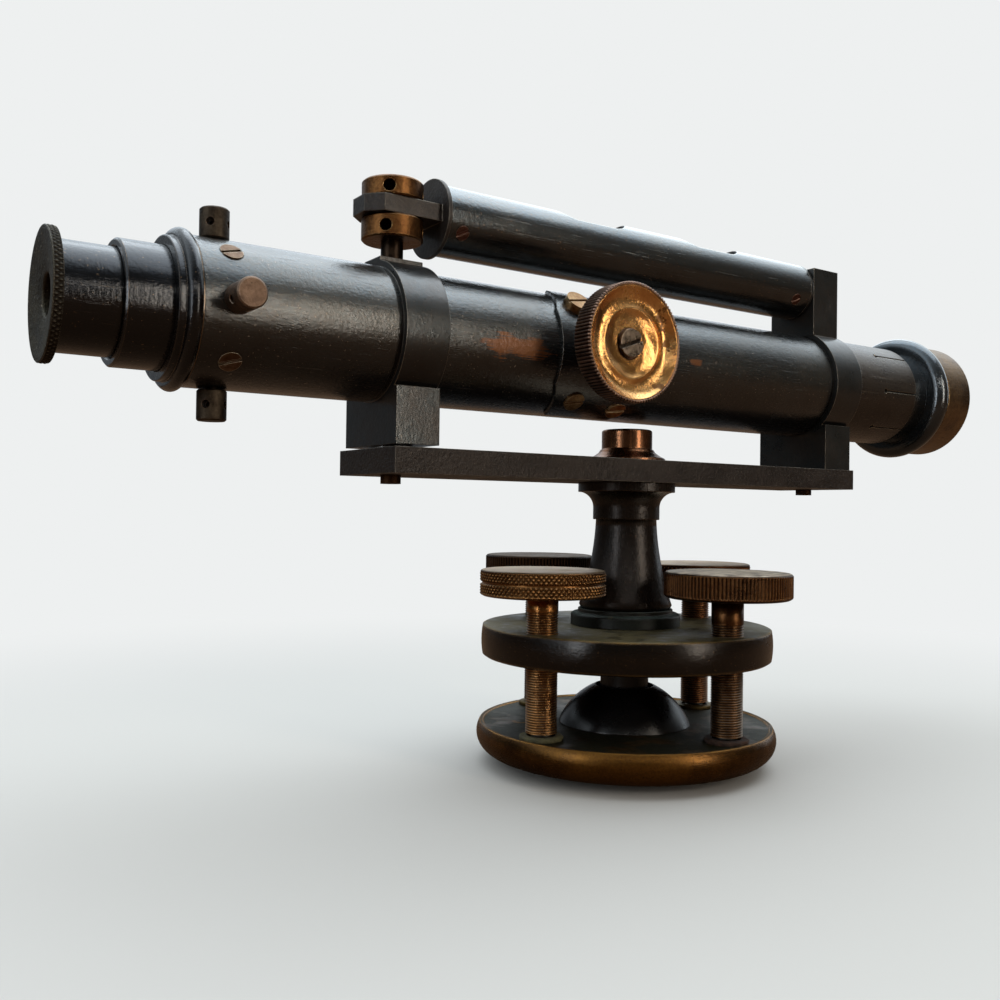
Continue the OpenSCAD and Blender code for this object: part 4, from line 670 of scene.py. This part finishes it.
# ---------------------------------------------------------------------------------------
# Small screws: the four capstan heads that move the reticle, and the slotted screws of the
# eyepiece body, the saddle plate and the level tube. All are brass, browned by age.
# ---------------------------------------------------------------------------------------
finished(aged("capstan_patina", ("3a322a", "544a3e", "221b15"), "8c7460", (0.45, 0.6), metal=1.0,
              blotch=220, edge=0.5, edge_width=0.3, grain=(400, 400, 400), grain_share=0.5, relief=0.5,
              seed=10.0), "reticle_tilt_screws")
finished(aged("pale_capstan", ("6a5648", "88705e", "4a362a"), "cdb8a4", (0.4, 0.55), metal=1.0, blotch=260,
              edge=0.8, edge_width=0.4, grain=(500, 500, 500), grain_share=0.6, relief=0.6, seed=10.4),
         "reticle_side_screws")
finished(aged("slotted_brass", ("5a4230", "7a6450", "3a2416"), "d8ccb8", (0.35, 0.5), metal=1.0, blotch=200,
              edge=0.7, edge_width=0.3, seed=10.8), "body_screws")
finished(aged("saddle_brass", ("8a6440", "b09068", "4a2e1a"), "dcc8a4", (0.3, 0.45), metal=1.0, blotch=200,
              edge=0.7, edge_width=0.3, seed=11.2), "saddle_screws")
finished(aged("casing_screw_copper", ("4a3028", "64443a", "241612"), "a8887a", (0.35, 0.5), metal=1.0,
              blotch=200, edge=0.7, edge_width=0.3, seed=11.6), "casing_screws")

# ---------------------------------------------------------------------------------------
# Focusing knob: brass, its face dished and polished, its edge blackened and knurled.
# A steel screw holds it on the pinion's shaft. The pinion's bush, the rack and the brass
# pieces inside share one dull finish.
# ---------------------------------------------------------------------------------------
NEAR_AXIS = ((-0.0305, 0, 0.1359), (0, -1, 0))
stains = [((-0.0186, -0.0372, 0.1438), (0.0016, 0.004, 0.0032)),
          ((-0.0165, -0.0372, 0.1375), (0.0012, 0.004, 0.002)),
          ((-0.0200, -0.0372, 0.1235), (0.0022, 0.004, 0.0009)),
          ((-0.0430, -0.0372, 0.1420), (0.001, 0.004, 0.004))]
knob_finish = aged("knob_brass", ("e6a660", "f6c07a", "b07838"), "4a2a10", (0.16, 0.30), metal=1.0,
                   blotch=110, edge=0.0, grain=(260, 260, 260), grain_share=0.6, turned_about=NEAR_AXIS,
                   ring_share=0.3, relief=0.35, pits=0.9, patches=stains, patch_tone="5a3414", seed=12.0,
                   coat=0.4)
# The notches of the knob's edge take painted shade and dirt.
edge_finish = aged("knob_edge", ("80685a", "a4826e", "523e30"), "f4d4b8", (0.26, 0.4), metal=1.0,
                   blotch=200, edge=0.8, edge_width=0.15, turned_about=NEAR_AXIS, grooves=[(18.2, 0.45)],
                   seed=12.4)


def knob_bowls(r, a):
    """The dish's height at radius r and angle a: a wide outer bowl 36.3 + 1.7 s^1.6 - 0.95 sin(pi s),
    with s from 0 at the ridge to 1 at the rim, and an inner bowl 35.2 + 1.1 q^2.2, with q from 0 at the
    screw's hole to 1 at the ridge. A soft step 1 / (1 + e^-x) joins them, and shallow dents fade out at
    the rim and at the hole."""
    ridge, hole = 10.6, 4.8
    s = np.clip((r - ridge) / 6.5, 0, 1)
    outer = 36.3 + 1.7 * s ** 1.6 - 0.95 * np.sin(np.pi * s)
    q = np.clip((r - hole) / (ridge - hole), 0, 1)
    inner = 35.2 + 1.1 * q ** 2.2
    soft = 1 / (1 + np.exp(-(r - ridge) / 0.35))
    dents = (0.10 * np.sin(2 * a + 0.9) * np.sin(0.8 * r) + 0.07 * np.sin(3 * a - 0.55 * r)
             + 0.05 * np.sin(5 * a + 1.3 * r))
    fade = np.clip((16.6 - r) / 3, 0, 1) * np.clip((r - 4.9) / 2, 0, 1)
    return inner * (1 - soft) + outer * soft + dents * fade


knob_centre = (-30.5, 0, 135.9)
round_dish = np.linspace(0, 2 * np.pi, 192, endpoint=False)[:, None]
dish_r = np.r_[4.75, 17.15, 17.15, np.linspace(17.1, 4.85, 60), 4.75] + 0 * round_dish
dish_t = knob_bowls(dish_r, round_dish)
dish_t[:, :3] = 34.0, 34.0, 37.2
dish_t[:, -1] = 34.9
dish_grid = np.stack([knob_centre[0] + dish_r * np.cos(round_dish), -dish_t,
                      knob_centre[2] + dish_r * np.sin(round_dish)], axis=-1) * MM
fitted(skinned("focusing_knob_dish", dish_grid, closed=True), knob_finish, "focus", "brass")
side_rim = [(18.2, s, 0.0) for s in np.linspace(31.4, 37.75, 26)]
knob_edge = softened([(4.7, 34.1, 0.05), (4.7, 34.8, 0.05), (1.95, 34.8, 0.1), (1.95, 30.5, 0.1),
                      (6.5, 30.5, 0.2), (6.5, 32.2, 0.2), (16.0, 32.2, 0.4), (16.6, 30.8, 0.3),
                      (17.6, 30.8, 0.3)] + side_rim
                     + [(18.0, 38.1, 0.0), (17.7, 38.2, 0.0), (17.3, 38.1, 0.0), (17.15, 37.9, 0.0),
                        (17.1, 36.0, 0.0), (17.1, 34.1, 0.0)])
notches = straight(30.8, 7.4, 104, low=0.4, high=-0.6, inner=17.6)
fitted(skinned("focusing_knob_edge", turned(knob_edge, knob_centre, "near", 832, notches), closed=True),
       edge_finish, "focus", "brass", "focus_knob")


def slotted_cap(origin, radius, low, high, slot_turn, slot_wide=1.1, slot_deep=1.1):
    """A round screw head facing the near side. Its height over the base is high less the slot, a
    flat-bottomed cut along a line at slot_turn degrees; distance from that line is |r sin(a -
    slot_turn)|."""
    ring = np.r_[np.linspace(0, radius - 0.25, 44), radius - 0.12, radius - 0.03, radius, radius, 0.0]
    lip = np.r_[np.full(44, high), high - 0.03, high - 0.12, high - 0.25, low, low]
    a = np.linspace(0, 2 * np.pi, 160, endpoint=False)[:, None]
    off_line = np.abs(ring * np.sin(a - math.radians(slot_turn)))
    cut = np.clip((slot_wide / 2 - off_line) / 0.09 + 0.5, 0, 1) * slot_deep
    t = np.minimum(lip + 0 * a, np.where(lip > low + 0.1, high - cut, low))
    grid = np.stack([origin[0] + ring * np.cos(a), origin[1] - t, origin[2] + ring * np.sin(a)], axis=-1)
    return grid[:, ::-1] * MM


# Below the sunk place, the slot and the lower side of the head take painted shade and dirt.
screw_steel = aged("knob_screw_steel", ("7c6c5e", "a0907e", "4a3a2e"), "d0c0b0", (0.22, 0.36), metal=1.0,
                   blotch=250, edge=0.5, edge_width=0.08, grain=(500, 500, 500), grain_share=0.5,
                   turned_about=NEAR_AXIS, sunk=36.2, relief=0.3, seed=12.8)
screw_head = slotted_cap((-30.5, -30.8, 135.9), radius=4.4, low=4.02, high=5.7, slot_turn=20)
fitted(skinned("knob_screw_cap", screw_head), screw_steel, "focus", "steel", "knob_screw")
finished(aged("rack_brass", ("6a5230", "8a6c40"), "b89a64", (0.4, 0.5), metal=1.0, blotch=150, seed=13.0),
         "pinion_bush", "rack", "ball_cup", "ball_keeper", "reticle_ring")

# ---------------------------------------------------------------------------------------
# Objective: the draw tube carries a ring with a bold bead, and the lens mount screwed in
# front of it has lost most of its lacquer and gone brown.
# ---------------------------------------------------------------------------------------
bead_finish = aged("bead_lacquer", ("46525a", "50585e", "54483c"), "9a8a74", (0.14, 0.24), metal=0.85,
                   blotch=45, edge=0.4, turned_about=X_AXIS, ring_share=0.3, grain=(60, 900, 900),
                   grain_share=0.3, relief=0.2, underside_shade="14100d", seed=14.0, coat=0.8)
finished(bead_finish, "draw_tube", "lens_ring")
cell_outline = softened([(17.6, 147.4, 0.1), (21.0, 147.4, 0.1)] + arc((21.5, 151.3), 3.9, -85, 82, 22)
                        + [(22.2, 155.4, 0.1), (22.2, 156.5, 0.1), (20.8, 156.5, 0.1), (20.8, 158.0, 0.1),
                           (17.6, 158.0, 0.1)])
fitted(skinned("bead_ring_turned", turned(cell_outline, telescope_line, "x", 176), closed=True),
       bead_finish, "objective", "black_lacquer", "objective_cell")
mount_outline = softened([(20.85, 156.5, 0.1), (23.2, 156.5, 0.3), (23.2, 172.0, 0.5), (22.4, 172.0, 0.3),
                          (21.6, 171.2, 0.3), (20.85, 171.0, 0.1)])
mount_finish = aged("mount_brown", ("6c5640", "8e7250", "40301e"), "c4a67c", (0.28, 0.42), metal=0.9,
                    blotch=60, edge=0.8, edge_width=0.6, grain=(60, 900, 900), grain_share=0.4,
                    turned_about=X_AXIS, ring_share=0.5, relief=0.3, seed=14.6)
fitted(skinned("objective_mount_turned", turned(mount_outline, telescope_line, "x", 176), closed=True),
       mount_finish, "objective", "old_brass", "objective_mount")


def clear(name, tint, bend):
    """Clear glass or liquid of a given refractive index. A soft noise runs its colour from the tint to
    white and its roughness from 0 to 0.02, like a faint film."""
    material = bpy.data.materials.new(name)
    material.use_nodes = True
    tree = material.node_tree
    shader = tree.nodes["Principled BSDF"]
    shader.inputs["Transmission Weight"].default_value = 1.0
    shader.inputs["IOR"].default_value = bend
    film = noise(tree, put(tree, "TexCoord").outputs["Object"], 90.0, 4.0)
    tree.links.new(mixed(tree, film, shade(tint), shade("ffffff")), shader.inputs["Base Color"])
    tree.links.new(spread(tree, film, 0.3, 0.8, 0.0, 0.02), shader.inputs["Roughness"])
    return material


finished(clear("lens_glass", "e8f2ee", 1.52), "crown_lens", "flint_lens", "eyepiece_lenses", "vial_glass")
finished(clear("spirit", "d8e4a0", 1.36), "vial_spirit")

# ---------------------------------------------------------------------------------------
# Level tube: a lacquered brass tube with two windows over the glass, a lug at its left
# end between two capstan nuts on the adjusting stud, and a tongue pinned at its right end.
# ---------------------------------------------------------------------------------------
V_AXIS = ((0, 0, 0.1729), (1, 0, 0))
finished(aged("level_tube_lacquer", ("4e585e", "585c5c", "5c4c3c"), "8a7058", (0.18, 0.30), metal=0.85,
              blotch=42, edge=0.4, edge_width=0.4, grain=(70, 1900, 1900), grain_share=0.16,
              turned_about=V_AXIS, ring_share=0.2, relief=0.28, underside_shade="100b08", pits=0.6, seed=15.0,
              coat=0.9), "vial_casing")
finished(aged("lug_paint", ("2a2624", "3c3632", "4a3e34"), "8c8478", (0.34, 0.48), metal=0.4, blotch=70,
              edge=0.7, edge_width=0.5, grain=(60, 60, 300), grain_share=0.3, relief=0.35, seed=15.5),
         "vial_tail")
STUD_AXIS = ((-0.0926, 0, 0), (0, 0, 1))
finished(aged("capstan_nut_brass", ("5c3a20", "7a5430", "2e1c0e"), "e0b47c", (0.26, 0.4), metal=1.0,
              blotch=120, edge=0.6, edge_width=0.4, grain=(700, 700, 60), grain_share=0.3,
              turned_about=STUD_AXIS, ring_share=1.0, relief=0.4, seed=16.0), "capstan_nuts")
finished(aged("stud_steel", ("1e1814", "30261e"), "7a6a58", (0.26, 0.4), metal=1.0, blotch=200, edge=0.5,
              seed=16.4), "adjusting_stud")
finished(aged("plaster", ("c8c0ae", "b8ae98"), "ded8c8", (0.85, 0.95), worn_metal=0.0, blotch=200,
              relief=0.6, seed=16.8), "vial_packing")
finished(aged("hair", ("100e0c", "1c1814"), "2a241e", (0.5, 0.6), worn_metal=0.0, seed=17.0), "cross_hairs")
